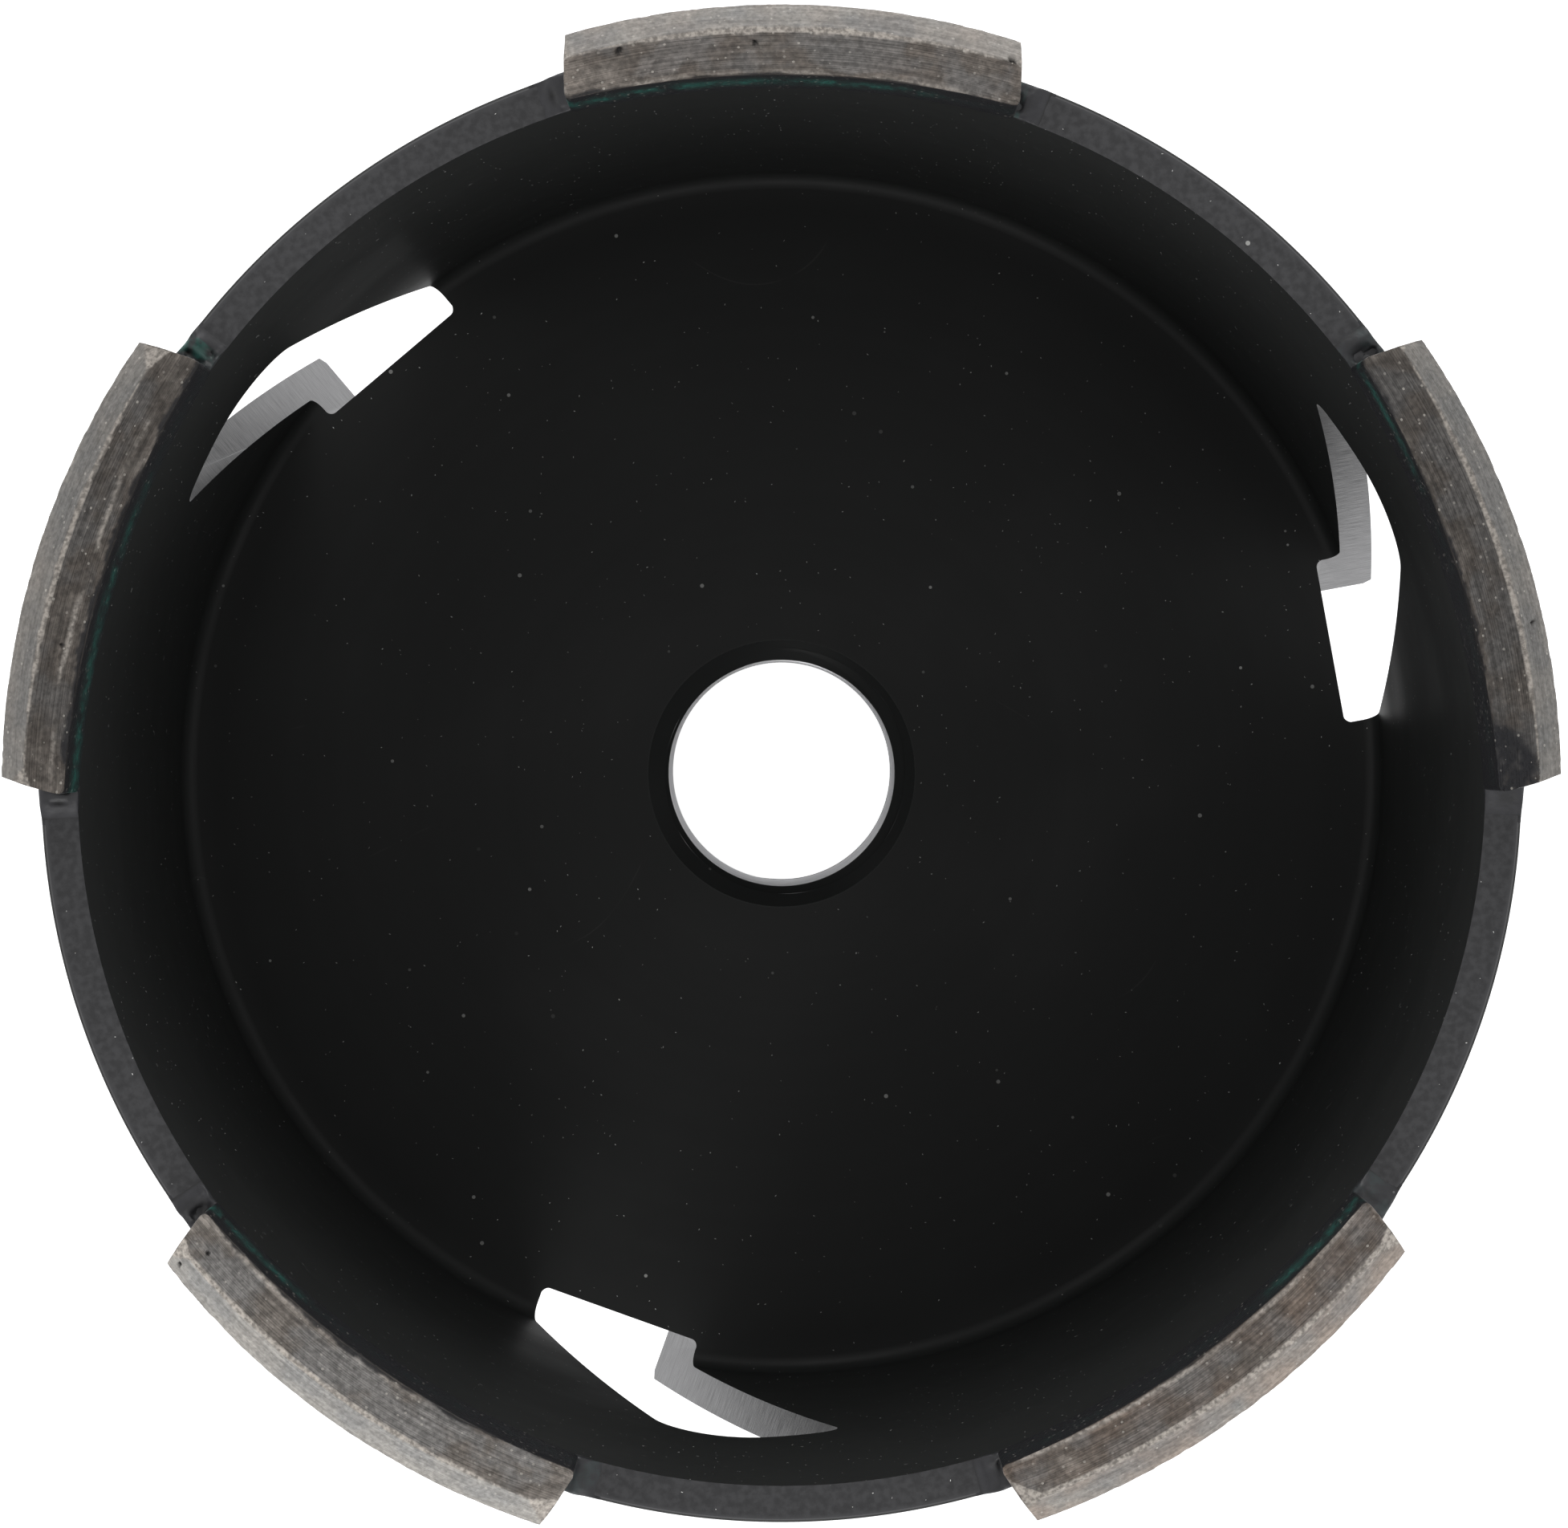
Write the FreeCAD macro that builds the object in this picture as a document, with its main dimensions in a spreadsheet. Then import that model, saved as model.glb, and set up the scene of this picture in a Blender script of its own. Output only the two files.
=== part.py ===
import FreeCAD, Part
import math
import os

import Sketcher

# Diamond core bit for dry drilling, 82 mm over its segments, with an M16 arbor thread.
# It stands on the flat back of its hub. +Z is the cup's axis and points to the mouth.
# The origin is the middle of the hub's back face, and +X runs through the middle of the first window.

# Sizes in millimetres and degrees, one cell each
SIZES = {
    # hub with the arbor thread and its spanner flats
    "hub_diameter": 30.0,
    "hub_height": 12.0,
    "flats_width": 24.0,
    "flats_height": 9.0,
    "hub_chamfer": 0.8,
    "bore_diameter": 14.5,
    "bore_chamfer": 1.25,
    # diameter of the hole that the bit cuts, and how far the segments stand out of the cup's wall
    "cutting_diameter": 82.0,
    "outer_clearance": 0.8,
    # cup
    "wall_thickness": 2.0,
    "base_thickness": 6.0,
    "cup_depth": 50.0,
    "floor_fillet": 1.0,
    "base_chamfer": 0.5,
    "rim_chamfer": 0.2,
    # leaning windows, open at the back edge of the cup
    "window_count": 3,
    "slot_width": 10.0,
    "slot_lean": 17.6,
    "slot_shift": 1.98,
    "slot_rise": 32.3,
    "slot_end_slope": 11.0,
    "slot_lead_radius": 4.5,
    "slot_tail_radius": 1.5,
    "notch_depth": 4.28,
    # segments, set on the rim by welding
    "segment_count": 5,
    "first_segment_angle": 7.7,
    "segment_length": 24.0,
    "segment_height": 10.0,
    "segment_thickness": 3.63,
    "inner_arc_radius": 48.0,
    "outer_slope_width": 1.5,
    "outer_slope_drop": 1.4,
    "inner_slope_drop": 1.8,
    "root_height": 2.0,
    "root_overhang": 0.15,
    # weld seams between the rim and the segments
    "seam_height": 0.4,
    "seam_overhang": 0.15,
    "seam_runout": 2.7,
    "seam_end_radius": 0.9,
}

# Sizes that follow from the others
TIED_SIZES = {
    "cup_diameter": "=cutting_diameter - 2 * outer_clearance",
}

# How far each segment sits from its even place round the rim, in degrees, as welded
SETTING_ERRORS = {
    "setting_error_1": -0.2,
    "setting_error_2": -0.9,
    "setting_error_3": 0.4,
    "setting_error_4": 0.9,
    "setting_error_5": 0.2,
}

# How far a cutting outline reaches past the solid that it cuts
CUT_PAST = 2.0

ORIGIN_POINT = (-1, 1)
HORIZONTAL_AXIS = -1


def make_sheet(document):
    sheet = document.addObject("Spreadsheet::Sheet", "size")
    cells = dict(SIZES)
    cells.update(TIED_SIZES)
    cells.update(SETTING_ERRORS)
    for row, (name, value) in enumerate(cells.items(), start=1):
        sheet.set(f"A{row}", name)
        sheet.set(f"B{row}", str(value))
        sheet.setAlias(f"B{row}", name)
    document.recompute()
    return sheet


def number(sheet, expression):
    # the value of an expression in the sheet's names, such as size.hub_height / 2
    result = sheet.evalExpression(expression)
    return float(getattr(result, "Value", result))


# Levels above the hub's back face, as expressions in the sheet's names
FLOOR_LEVEL = "(size.hub_height + size.base_thickness)"
RIM_LEVEL = "(size.hub_height + size.base_thickness + size.cup_depth)"
CUP_INNER_RADIUS = "(size.cup_diameter / 2 - size.wall_thickness)"


def add_sketch(body, name, role, lift=None):
    # a sketch on one of the body's own origin planes, lifted along the plane's normal
    sketch = body.newObject("Sketcher::SketchObject", name)
    plane = next(f for f in body.Origin.OriginFeatures if f.Role == role)
    sketch.AttachmentSupport = [(plane, "")]
    sketch.MapMode = "FlatFace"
    if lift is not None:
        sketch.setExpression("AttachmentOffset.Base.z", lift)
    return sketch


def drive(sketch, constraint, name, expression):
    # adds a constraint and binds its size to the sheet
    index = sketch.addConstraint(constraint)
    sketch.renameConstraint(index, name)
    sketch.setExpression(f"Constraints.{name}", expression)
    return index


def place_point(sketch, sheet, geometry, position, name, x, y):
    # holds a point of the sketch at two sizes from its origin
    across = Sketcher.Constraint("DistanceX", *ORIGIN_POINT, geometry, position, number(sheet, x))
    up = Sketcher.Constraint("DistanceY", *ORIGIN_POINT, geometry, position, number(sheet, y))
    drive(sketch, across, f"{name}_across", x)
    drive(sketch, up, f"{name}_up", y)


def add_circle(sketch, sheet, name, radius):
    circle = Part.Circle(FreeCAD.Vector(0, 0, 0), FreeCAD.Vector(0, 0, 1), number(sheet, radius))
    index = sketch.addGeometry(circle, False)
    sketch.addConstraint(Sketcher.Constraint("Coincident", index, 3, *ORIGIN_POINT))
    drive(sketch, Sketcher.Constraint("Radius", index, number(sheet, radius)), name, radius)


def add_outline(sketch, sheet, name, corners):
    # a closed outline of straight sides, with every corner held by two expressions
    points = [FreeCAD.Vector(number(sheet, x), number(sheet, y), 0) for x, y in corners]
    first = sketch.GeometryCount
    for here, there in zip(points, points[1:] + points[:1]):
        sketch.addGeometry(Part.LineSegment(here, there), False)
    for step, (x, y) in enumerate(corners):
        side = first + step
        following = first + (step + 1) % len(corners)
        sketch.addConstraint(Sketcher.Constraint("Coincident", side, 2, following, 1))
        place_point(sketch, sheet, side, 1, f"{name}_{step}", x, y)


def pad(body, sketch, name, length):
    feature = body.newObject("PartDesign::Pad", name)
    feature.Profile = sketch
    feature.setExpression("Length", length)
    return feature


def pocket(body, sketch, name, length=None, forwards=False):
    # cuts against the sketch's normal, or along it when forwards is true
    feature = body.newObject("PartDesign::Pocket", name)
    feature.Profile = sketch
    feature.Reversed = forwards
    if length is None:
        feature.Type = "ThroughAll"
    else:
        feature.setExpression("Length", length)
    return feature


def dress_edges(body, kind, name, base, test, size):
    # a fillet or chamfer on every edge of the base feature that passes the test
    body.Document.recompute()
    names = [f"Edge{n}" for n, edge in enumerate(base.Shape.Edges, start=1) if test(edge)]
    if not names:
        raise RuntimeError(f"{name} found no edge")
    feature = body.newObject(f"PartDesign::{kind}", name)
    feature.Base = (base, names)
    feature.setExpression("Radius" if kind == "Fillet" else "Size", size)
    return feature


def circle_edge(radius, level):
    # a test for a circular edge about the axis, of this radius at this height
    def test(edge):
        curve = edge.Curve
        if not isinstance(curve, Part.Circle):
            return False
        return abs(curve.Radius - radius) < 1e-6 and abs(curve.Center.z - level) < 1e-6
    return test


def arc_between(centre, start, end):
    # the arc that turns anticlockwise about its centre from start to end
    radius = (start - centre).Length
    circle = Part.Circle(centre, FreeCAD.Vector(0, 0, 1), radius)
    begin = math.atan2(start.y - centre.y, start.x - centre.x)
    finish = math.atan2(end.y - centre.y, end.x - centre.x)
    return Part.ArcOfCircle(circle, begin, finish)


def rounded_corner(before, corner, after, radius):
    # the two tangent points and the centre of a rounding at a corner
    back = (before - corner).normalize()
    ahead = (after - corner).normalize()
    half = back.getAngle(ahead) / 2
    reach = radius / math.tan(half)
    centre = corner + (back + ahead).normalize() * (radius / math.sin(half))
    return corner + back * reach, corner + ahead * reach, centre


def slot_sketch(body, sheet, name, bottom, lift=None):
    # The leaning slot seen from outside: two parallel sides, and an end that slopes and is rounded
    # more on its leading corner than on its trailing one.
    sketch = add_sketch(body, name, "YZ_Plane", lift)
    half_across = "size.slot_width / 2 / cos(size.slot_lean)"
    drift = f"(({bottom}) - {FLOOR_LEVEL}) * tan(size.slot_lean)"
    end_x = "size.slot_shift + size.slot_rise * sin(size.slot_lean)"
    end_y = f"{FLOOR_LEVEL} + size.slot_rise * cos(size.slot_lean)"
    end_reach = "size.slot_width / 2 / cos(size.slot_end_slope)"
    step_x = f"{end_reach} * cos(size.slot_lean + size.slot_end_slope)"
    step_y = f"{end_reach} * sin(size.slot_lean + size.slot_end_slope)"
    low_left = (f"size.slot_shift - {half_across} + {drift}", bottom)
    low_right = (f"size.slot_shift + {half_across} + {drift}", bottom)
    top_right = (f"{end_x} + {step_x}", f"{end_y} - {step_y}")
    top_left = (f"{end_x} - {step_x}", f"{end_y} + {step_y}")
    corners = (low_left, low_right, top_right, top_left)
    left, right, tail, lead = [FreeCAD.Vector(number(sheet, x), number(sheet, y), 0) for x, y in corners]
    tail_radius = number(sheet, "size.slot_tail_radius")
    lead_radius = number(sheet, "size.slot_lead_radius")
    tail_in, tail_out, tail_centre = rounded_corner(right, tail, lead, tail_radius)
    lead_in, lead_out, lead_centre = rounded_corner(tail, lead, left, lead_radius)
    base_side = sketch.addGeometry(Part.LineSegment(left, right), False)
    right_side = sketch.addGeometry(Part.LineSegment(right, tail_in), False)
    tail_arc = sketch.addGeometry(arc_between(tail_centre, tail_in, tail_out), False)
    end_side = sketch.addGeometry(Part.LineSegment(tail_out, lead_in), False)
    lead_arc = sketch.addGeometry(arc_between(lead_centre, lead_in, lead_out), False)
    left_side = sketch.addGeometry(Part.LineSegment(lead_out, left), False)
    tail_point = sketch.addGeometry(Part.Point(tail), True)
    lead_point = sketch.addGeometry(Part.Point(lead), True)
    sketch.addConstraint([
        Sketcher.Constraint("Coincident", base_side, 2, right_side, 1),
        Sketcher.Constraint("Tangent", right_side, 2, tail_arc, 1),
        Sketcher.Constraint("Tangent", tail_arc, 2, end_side, 1),
        Sketcher.Constraint("Tangent", end_side, 2, lead_arc, 1),
        Sketcher.Constraint("Tangent", lead_arc, 2, left_side, 1),
        Sketcher.Constraint("Coincident", left_side, 2, base_side, 1),
        Sketcher.Constraint("PointOnObject", tail_point, 1, right_side),
        Sketcher.Constraint("PointOnObject", tail_point, 1, end_side),
        Sketcher.Constraint("PointOnObject", lead_point, 1, end_side),
        Sketcher.Constraint("PointOnObject", lead_point, 1, left_side),
    ])
    place_point(sketch, sheet, base_side, 1, "low_left", *low_left)
    place_point(sketch, sheet, base_side, 2, "low_right", *low_right)
    place_point(sketch, sheet, tail_point, 1, "tail_corner", *top_right)
    place_point(sketch, sheet, lead_point, 1, "lead_corner", *top_left)
    tail_rounding = Sketcher.Constraint("Radius", tail_arc, tail_radius)
    lead_rounding = Sketcher.Constraint("Radius", lead_arc, lead_radius)
    drive(sketch, tail_rounding, "tail_radius", "size.slot_tail_radius")
    drive(sketch, lead_rounding, "lead_radius", "size.slot_lead_radius")
    return sketch


def make_cup_body(document, sheet):
    # One piece: hub, base and wall, with the threaded bore, the spanner flats and three windows
    body = document.addObject("PartDesign::Body", "cup_body")
    body.Label = "cup_body"

    hub = add_sketch(body, "hub_outline", "XY_Plane")
    add_circle(hub, sheet, "hub_radius", "size.hub_diameter / 2")
    pad(body, hub, "hub_pad", "size.hub_height")

    cup = add_sketch(body, "cup_outline", "XY_Plane", "size.hub_height")
    add_circle(cup, sheet, "cup_radius", "size.cup_diameter / 2")
    pad(body, cup, "cup_pad", "size.base_thickness + size.cup_depth")

    inside = add_sketch(body, "inside_outline", "XY_Plane", FLOOR_LEVEL)
    add_circle(inside, sheet, "inside_radius", CUP_INNER_RADIUS)
    pocket(body, inside, "cup_inside", forwards=True)

    bore = add_sketch(body, "bore_outline", "XY_Plane", FLOOR_LEVEL)
    add_circle(bore, sheet, "bore_radius", "size.bore_diameter / 2")
    bored = pocket(body, bore, "arbor_bore")

    floor_level = number(sheet, FLOOR_LEVEL)
    rim_level = number(sheet, RIM_LEVEL)
    inner_radius = number(sheet, CUP_INNER_RADIUS)
    cup_radius = number(sheet, "size.cup_diameter / 2")
    hub_radius = number(sheet, "size.hub_diameter / 2")
    bore_radius = number(sheet, "size.bore_diameter / 2")
    hub_height = number(sheet, "size.hub_height")

    foot = circle_edge(inner_radius, floor_level)
    filleted = dress_edges(body, "Fillet", "floor_corner", bored, foot, "size.floor_fillet")

    bore_back = circle_edge(bore_radius, 0.0)
    bore_front = circle_edge(bore_radius, floor_level)
    countersunk = dress_edges(
        body, "Chamfer", "bore_chamfers", filleted,
        lambda edge: bore_back(edge) or bore_front(edge), "size.bore_chamfer")
    base_edge = circle_edge(cup_radius, hub_height)
    eased_base = dress_edges(body, "Chamfer", "base_edge", countersunk, base_edge, "size.base_chamfer")
    rim_edge = circle_edge(cup_radius, rim_level)
    eased_rim = dress_edges(body, "Chamfer", "rim_edge", eased_base, rim_edge, "size.rim_chamfer")
    hub_edge = circle_edge(hub_radius, 0.0)
    dress_edges(body, "Chamfer", "hub_edge", eased_rim, hub_edge, "size.hub_chamfer")

    flats = add_sketch(body, "flats_outline", "XY_Plane")
    past = f"(size.hub_diameter / 2 + {CUT_PAST})"
    for side, name in (("-", "near"), ("", "far")):
        add_outline(flats, sheet, name, [
            (f"-{past}", f"{side}size.flats_width / 2"),
            (past, f"{side}size.flats_width / 2"),
            (past, f"{side}{past}"),
            (f"-{past}", f"{side}{past}"),
        ])
    pocket(body, flats, "spanner_flats", "size.flats_height", forwards=True)

    # The slot stops a little way into the base, and goes right through the wall above it.
    notch_lift = "size.cup_diameter / 2 - size.notch_depth"
    notch = slot_sketch(body, sheet, "notch_outline", f"(size.hub_height - {CUT_PAST})", notch_lift)
    notched = pocket(body, notch, "base_notch", forwards=True)
    window = slot_sketch(body, sheet, "window_outline", f"({FLOOR_LEVEL} + size.floor_fillet)")
    opened = pocket(body, window, "wall_window", forwards=True)

    pattern = body.newObject("PartDesign::PolarPattern", "windows_round_cup")
    pattern.Originals = [notched, opened]
    axis = next(f for f in body.Origin.OriginFeatures if f.Role == "Z_Axis")
    pattern.Axis = (axis, [""])
    pattern.Angle = 360
    pattern.setExpression("Occurrences", "size.window_count")
    body.Tip = pattern
    return body


def turn_and_lift(body, number_on_rim, level):
    # puts a piece at its place round the rim
    place = (f"size.first_segment_angle + {number_on_rim - 1} * 360 / size.segment_count"
             f" + size.setting_error_{number_on_rim}")
    upright = FreeCAD.Rotation(FreeCAD.Vector(0, 0, 1), 1)
    body.Placement = FreeCAD.Placement(FreeCAD.Vector(0, 0, 0), upright)
    body.setExpression("Placement.Rotation.Angle", place)
    body.setExpression("Placement.Base.z", level)


def revolve_cut(body, sketch, name, axis):
    feature = body.newObject("PartDesign::Groove", name)
    feature.Profile = sketch
    feature.ReferenceAxis = (sketch, [axis])
    feature.Angle = 360
    return feature


def make_segment(document, sheet, index):
    # A roof-shaped segment: straight ends, an outer arc about the cup's axis, a flatter inner arc,
    # and a narrower root of the wall's width that stands on the weld.
    name = f"segment_{index}"
    body = document.addObject("PartDesign::Body", name)
    body.Label = name
    outer = "size.cutting_diameter / 2"
    centre_x = f"({outer} - size.segment_thickness - size.inner_arc_radius)"
    half = "size.segment_length / 2"

    plan = add_sketch(body, f"{name}_plan", "XY_Plane")
    outer_radius = number(sheet, outer)
    inner_radius = number(sheet, "size.inner_arc_radius")
    half_length = number(sheet, half)
    inner_centre = FreeCAD.Vector(number(sheet, centre_x), 0, 0)
    outer_end_x = math.sqrt(outer_radius ** 2 - half_length ** 2)
    inner_end_x = inner_centre.x + math.sqrt(inner_radius ** 2 - half_length ** 2)
    outer_low = FreeCAD.Vector(outer_end_x, -half_length, 0)
    outer_high = FreeCAD.Vector(outer_end_x, half_length, 0)
    inner_low = FreeCAD.Vector(inner_end_x, -half_length, 0)
    inner_high = FreeCAD.Vector(inner_end_x, half_length, 0)
    outer_arc = plan.addGeometry(arc_between(FreeCAD.Vector(0, 0, 0), outer_low, outer_high), False)
    high_end = plan.addGeometry(Part.LineSegment(outer_high, inner_high), False)
    inner_arc = plan.addGeometry(arc_between(inner_centre, inner_low, inner_high), False)
    low_end = plan.addGeometry(Part.LineSegment(inner_low, outer_low), False)
    plan.addConstraint([
        Sketcher.Constraint("Coincident", outer_arc, 3, *ORIGIN_POINT),
        Sketcher.Constraint("PointOnObject", inner_arc, 3, HORIZONTAL_AXIS),
        Sketcher.Constraint("Coincident", outer_arc, 2, high_end, 1),
        Sketcher.Constraint("Coincident", high_end, 2, inner_arc, 2),
        Sketcher.Constraint("Coincident", inner_arc, 1, low_end, 1),
        Sketcher.Constraint("Coincident", low_end, 2, outer_arc, 1),
        Sketcher.Constraint("Horizontal", high_end),
        Sketcher.Constraint("Horizontal", low_end),
    ])
    outer_bend = Sketcher.Constraint("Radius", outer_arc, outer_radius)
    inner_bend = Sketcher.Constraint("Radius", inner_arc, inner_radius)
    drive(plan, outer_bend, "outer_radius", outer)
    drive(plan, inner_bend, "inner_radius", "size.inner_arc_radius")
    across = Sketcher.Constraint("DistanceX", *ORIGIN_POINT, inner_arc, 3, inner_centre.x)
    drive(plan, across, "inner_centre", centre_x)
    upper = Sketcher.Constraint("DistanceY", *ORIGIN_POINT, high_end, 1, half_length)
    drive(plan, upper, "upper_end", half)
    lower = Sketcher.Constraint("DistanceY", low_end, 2, *ORIGIN_POINT, half_length)
    drive(plan, lower, "lower_end", half)
    pad(body, plan, f"{name}_blank", "size.segment_height")

    # Outside: the outer slope of the roof, and the step down to the root
    outside = add_sketch(body, f"{name}_outside", "XZ_Plane")
    past_outer = f"({outer} + {CUT_PAST})"
    slope = "size.outer_slope_drop / size.outer_slope_width"
    add_outline(outside, sheet, "slope", [
        (f"{outer} - size.outer_slope_width", "size.segment_height"),
        (past_outer, f"size.segment_height - size.outer_slope_drop - {CUT_PAST} * {slope}"),
        (past_outer, "size.segment_height"),
    ])
    root_outer = "size.cup_diameter / 2 + size.root_overhang"
    add_outline(outside, sheet, "step", [
        (root_outer, "0"),
        (past_outer, "0"),
        (past_outer, "size.root_height"),
        (root_outer, "size.root_height"),
    ])
    revolve_cut(body, outside, f"{name}_outer_cut", "V_Axis")

    # Inside: the same about the axis of the inner arc
    inside = add_sketch(body, f"{name}_inside", "XZ_Plane")
    inner = f"({outer} - size.segment_thickness)"
    past_inner = f"({inner} - {CUT_PAST})"
    fall = "size.inner_slope_drop / (size.segment_thickness - size.outer_slope_width)"
    root_inner = f"({CUP_INNER_RADIUS} - size.root_overhang)"
    add_outline(inside, sheet, "slope", [
        (f"{outer} - size.outer_slope_width", "size.segment_height"),
        (past_inner, "size.segment_height"),
        (past_inner, f"size.segment_height - size.inner_slope_drop - {CUT_PAST} * {fall}"),
    ])
    add_outline(inside, sheet, "step", [
        (root_inner, "0"),
        (root_inner, "size.root_height"),
        (past_inner, "size.root_height"),
        (past_inner, "0"),
    ])
    arc_axis = inside.addGeometry(
        Part.LineSegment(inner_centre, inner_centre + FreeCAD.Vector(0, 10, 0)), True)
    place_point(inside, sheet, arc_axis, 1, "axis_foot", centre_x, "0")
    place_point(inside, sheet, arc_axis, 2, "axis_top", centre_x, "size.segment_height")
    revolve_cut(body, inside, f"{name}_inner_cut", "Axis0")

    turn_and_lift(body, index, f"{RIM_LEVEL} + size.seam_height")
    return body


def make_weld_seam(document, sheet, index):
    # A flat bead of the wall's width that runs out a little way past both ends of its segment
    name = f"weld_seam_{index}"
    body = document.addObject("PartDesign::Body", name)
    body.Label = name
    section = add_sketch(body, f"{name}_section", "XZ_Plane")
    inner = f"({CUP_INNER_RADIUS} - size.seam_overhang)"
    outer = "(size.cup_diameter / 2 + size.seam_overhang)"
    add_outline(section, sheet, "bead", [
        (inner, "0"),
        (outer, "0"),
        (outer, "size.seam_height"),
        (inner, "size.seam_height"),
    ])
    bead = body.newObject("PartDesign::Revolution", f"{name}_bead")
    bead.Profile = section
    bead.ReferenceAxis = (section, ["V_Axis"])
    bead.Midplane = True
    half_segment = "asin(size.segment_length / size.cutting_diameter)"
    runout = "size.seam_runout / (size.cup_diameter / 2) * 180 / pi"
    bead.setExpression("Angle", f"2 * ({half_segment} + {runout} * 1 deg)")

    def upright(edge):
        # a test for the four straight corners of the bead's ends
        return isinstance(edge.Curve, Part.Line) and abs(edge.BoundBox.ZLength - edge.Length) < 1e-6

    dress_edges(body, "Fillet", f"{name}_ends", bead, upright, "size.seam_end_radius")
    turn_and_lift(body, index, RIM_LEVEL)
    return body


def check(document, pieces):
    for item in document.Objects:
        if "Invalid" in item.State or "Error" in item.State:
            raise RuntimeError(f"{item.Name} failed: {item.State}")
    for piece in pieces:
        shape = piece.Shape
        if shape.isNull() or not shape.isValid() or len(shape.Solids) != 1:
            raise RuntimeError(f"{piece.Label} is not one valid solid")


def main():
    document = FreeCAD.newDocument("diamond_core_bit")
    sheet = make_sheet(document)
    pieces = [make_cup_body(document, sheet)]
    for index in range(1, int(SIZES["segment_count"]) + 1):
        pieces.append(make_weld_seam(document, sheet, index))
        pieces.append(make_segment(document, sheet, index))
    document.recompute()
    check(document, pieces)
    os.makedirs("parts", exist_ok=True)
    for piece in pieces:
        piece.Shape.exportStep(os.path.join("parts", f"{piece.Label}.step"))
        box = piece.Shape.BoundBox
        print(f"{piece.Label}: {piece.Shape.Volume:.1f} mm3, "
              f"x {box.XMin:.2f} to {box.XMax:.2f}, y {box.YMin:.2f} to {box.YMax:.2f}, "
              f"z {box.ZMin:.2f} to {box.ZMax:.2f}")


main()
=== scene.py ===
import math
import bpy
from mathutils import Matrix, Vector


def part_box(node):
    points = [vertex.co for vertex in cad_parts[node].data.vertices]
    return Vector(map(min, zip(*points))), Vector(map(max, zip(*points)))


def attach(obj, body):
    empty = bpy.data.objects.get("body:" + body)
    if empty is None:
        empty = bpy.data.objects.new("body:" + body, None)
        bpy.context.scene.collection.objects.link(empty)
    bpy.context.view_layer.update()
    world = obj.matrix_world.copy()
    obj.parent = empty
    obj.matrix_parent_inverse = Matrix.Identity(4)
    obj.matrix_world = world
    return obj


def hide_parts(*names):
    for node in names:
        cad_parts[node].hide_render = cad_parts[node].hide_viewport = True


bl_info = {
    "name": "Diamond core bit",
    "version": (1, 0, 0),
    "blender": (4, 5, 0),
    "location": "3D View > Sidebar > Core bit",
    "description": "Dresses the packed solids of a dry diamond core bit with worn paint, steel and segments",
    "category": "Object",
}

import bmesh
import bpy
import numpy as np
from bpy.props import FloatProperty, FloatVectorProperty, IntProperty, PointerProperty
from mathutils import Matrix, Vector

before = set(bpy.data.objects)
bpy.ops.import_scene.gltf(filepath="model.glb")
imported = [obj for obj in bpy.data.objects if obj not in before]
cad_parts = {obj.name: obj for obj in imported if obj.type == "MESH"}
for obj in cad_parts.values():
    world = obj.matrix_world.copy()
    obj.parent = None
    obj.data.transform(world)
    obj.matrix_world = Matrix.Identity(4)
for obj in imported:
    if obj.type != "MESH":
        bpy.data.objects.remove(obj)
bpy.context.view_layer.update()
rim_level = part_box("cup_body")[1].z
seam_low, seam_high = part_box("weld_seam_1")
segment_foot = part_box("segment_1")[0].z

MM = 0.001
# where each segment's middle stands round the rim, in degrees from the first window, as welded
FIRST_SEGMENT = 7.7
SEGMENT_PITCH = 72.0
SETTING_ERRORS = (-0.2, -0.9, 0.4, 0.9, 0.2)
SEGMENT_ANGLES = [FIRST_SEGMENT + SEGMENT_PITCH * place + error for place, error in enumerate(SETTING_ERRORS)]


def length(name, description, millimetres):
    return FloatProperty(
        name=name, description=description, default=millimetres * MM, unit="LENGTH", precision=5)


def angle(name, description, degrees):
    return FloatProperty(name=name, description=description, default=math.radians(degrees), subtype="ANGLE")


def share(name, description, value, most=1.0):
    return FloatProperty(
        name=name, description=description, default=value, min=0.0, max=most, subtype="FACTOR")


def colour(name, description, value):
    return FloatVectorProperty(
        name=name, description=description, default=value, min=0.0, max=1.0, size=3, subtype="COLOR")


class CupSettings(bpy.types.PropertyGroup):
    radius: length("Cup radius", "Outside of the wall", 40.2)
    wall: length("Wall", "Thickness of the wall", 2.0)
    rim_level: length("Rim level", "Height of the rim over the hub's back", rim_level / MM)
    floor_level: length("Floor level", "Height of the cup's floor over the hub's back", 18.0)
    base_level: length("Base level", "Height of the base's underside", 12.0)
    floor_fillet: length("Floor fillet", "Rounding between floor and wall", 1.0)
    base_chamfer: length("Base chamfer", "Bevel round the base's edge", 0.5)
    rim_chamfer: length("Rim chamfer", "Bevel round the rim's outer edge", 0.2)
    hub_radius: length("Hub radius", "Outside of the hub", 15.0)
    hub_chamfer: length("Hub chamfer", "Bevel round the hub's back", 0.8)
    flats_half_width: length("Flats", "Distance of each spanner flat from the axis", 12.0)
    flats_height: length("Flats height", "Height of the spanner flats", 9.0)
    countersink_radius: length("Countersink radius", "Mouth of the bore", 8.5)
    steps: IntProperty(name="Steps", description="Faces round the cup", default=360, min=48)
    paint: colour("Paint", "Black finish inside the cup", (0.0110, 0.0116, 0.0113))
    rim_paint: colour("Rim paint", "Thinner finish on the rim's face", (0.043, 0.043, 0.045))


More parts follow.
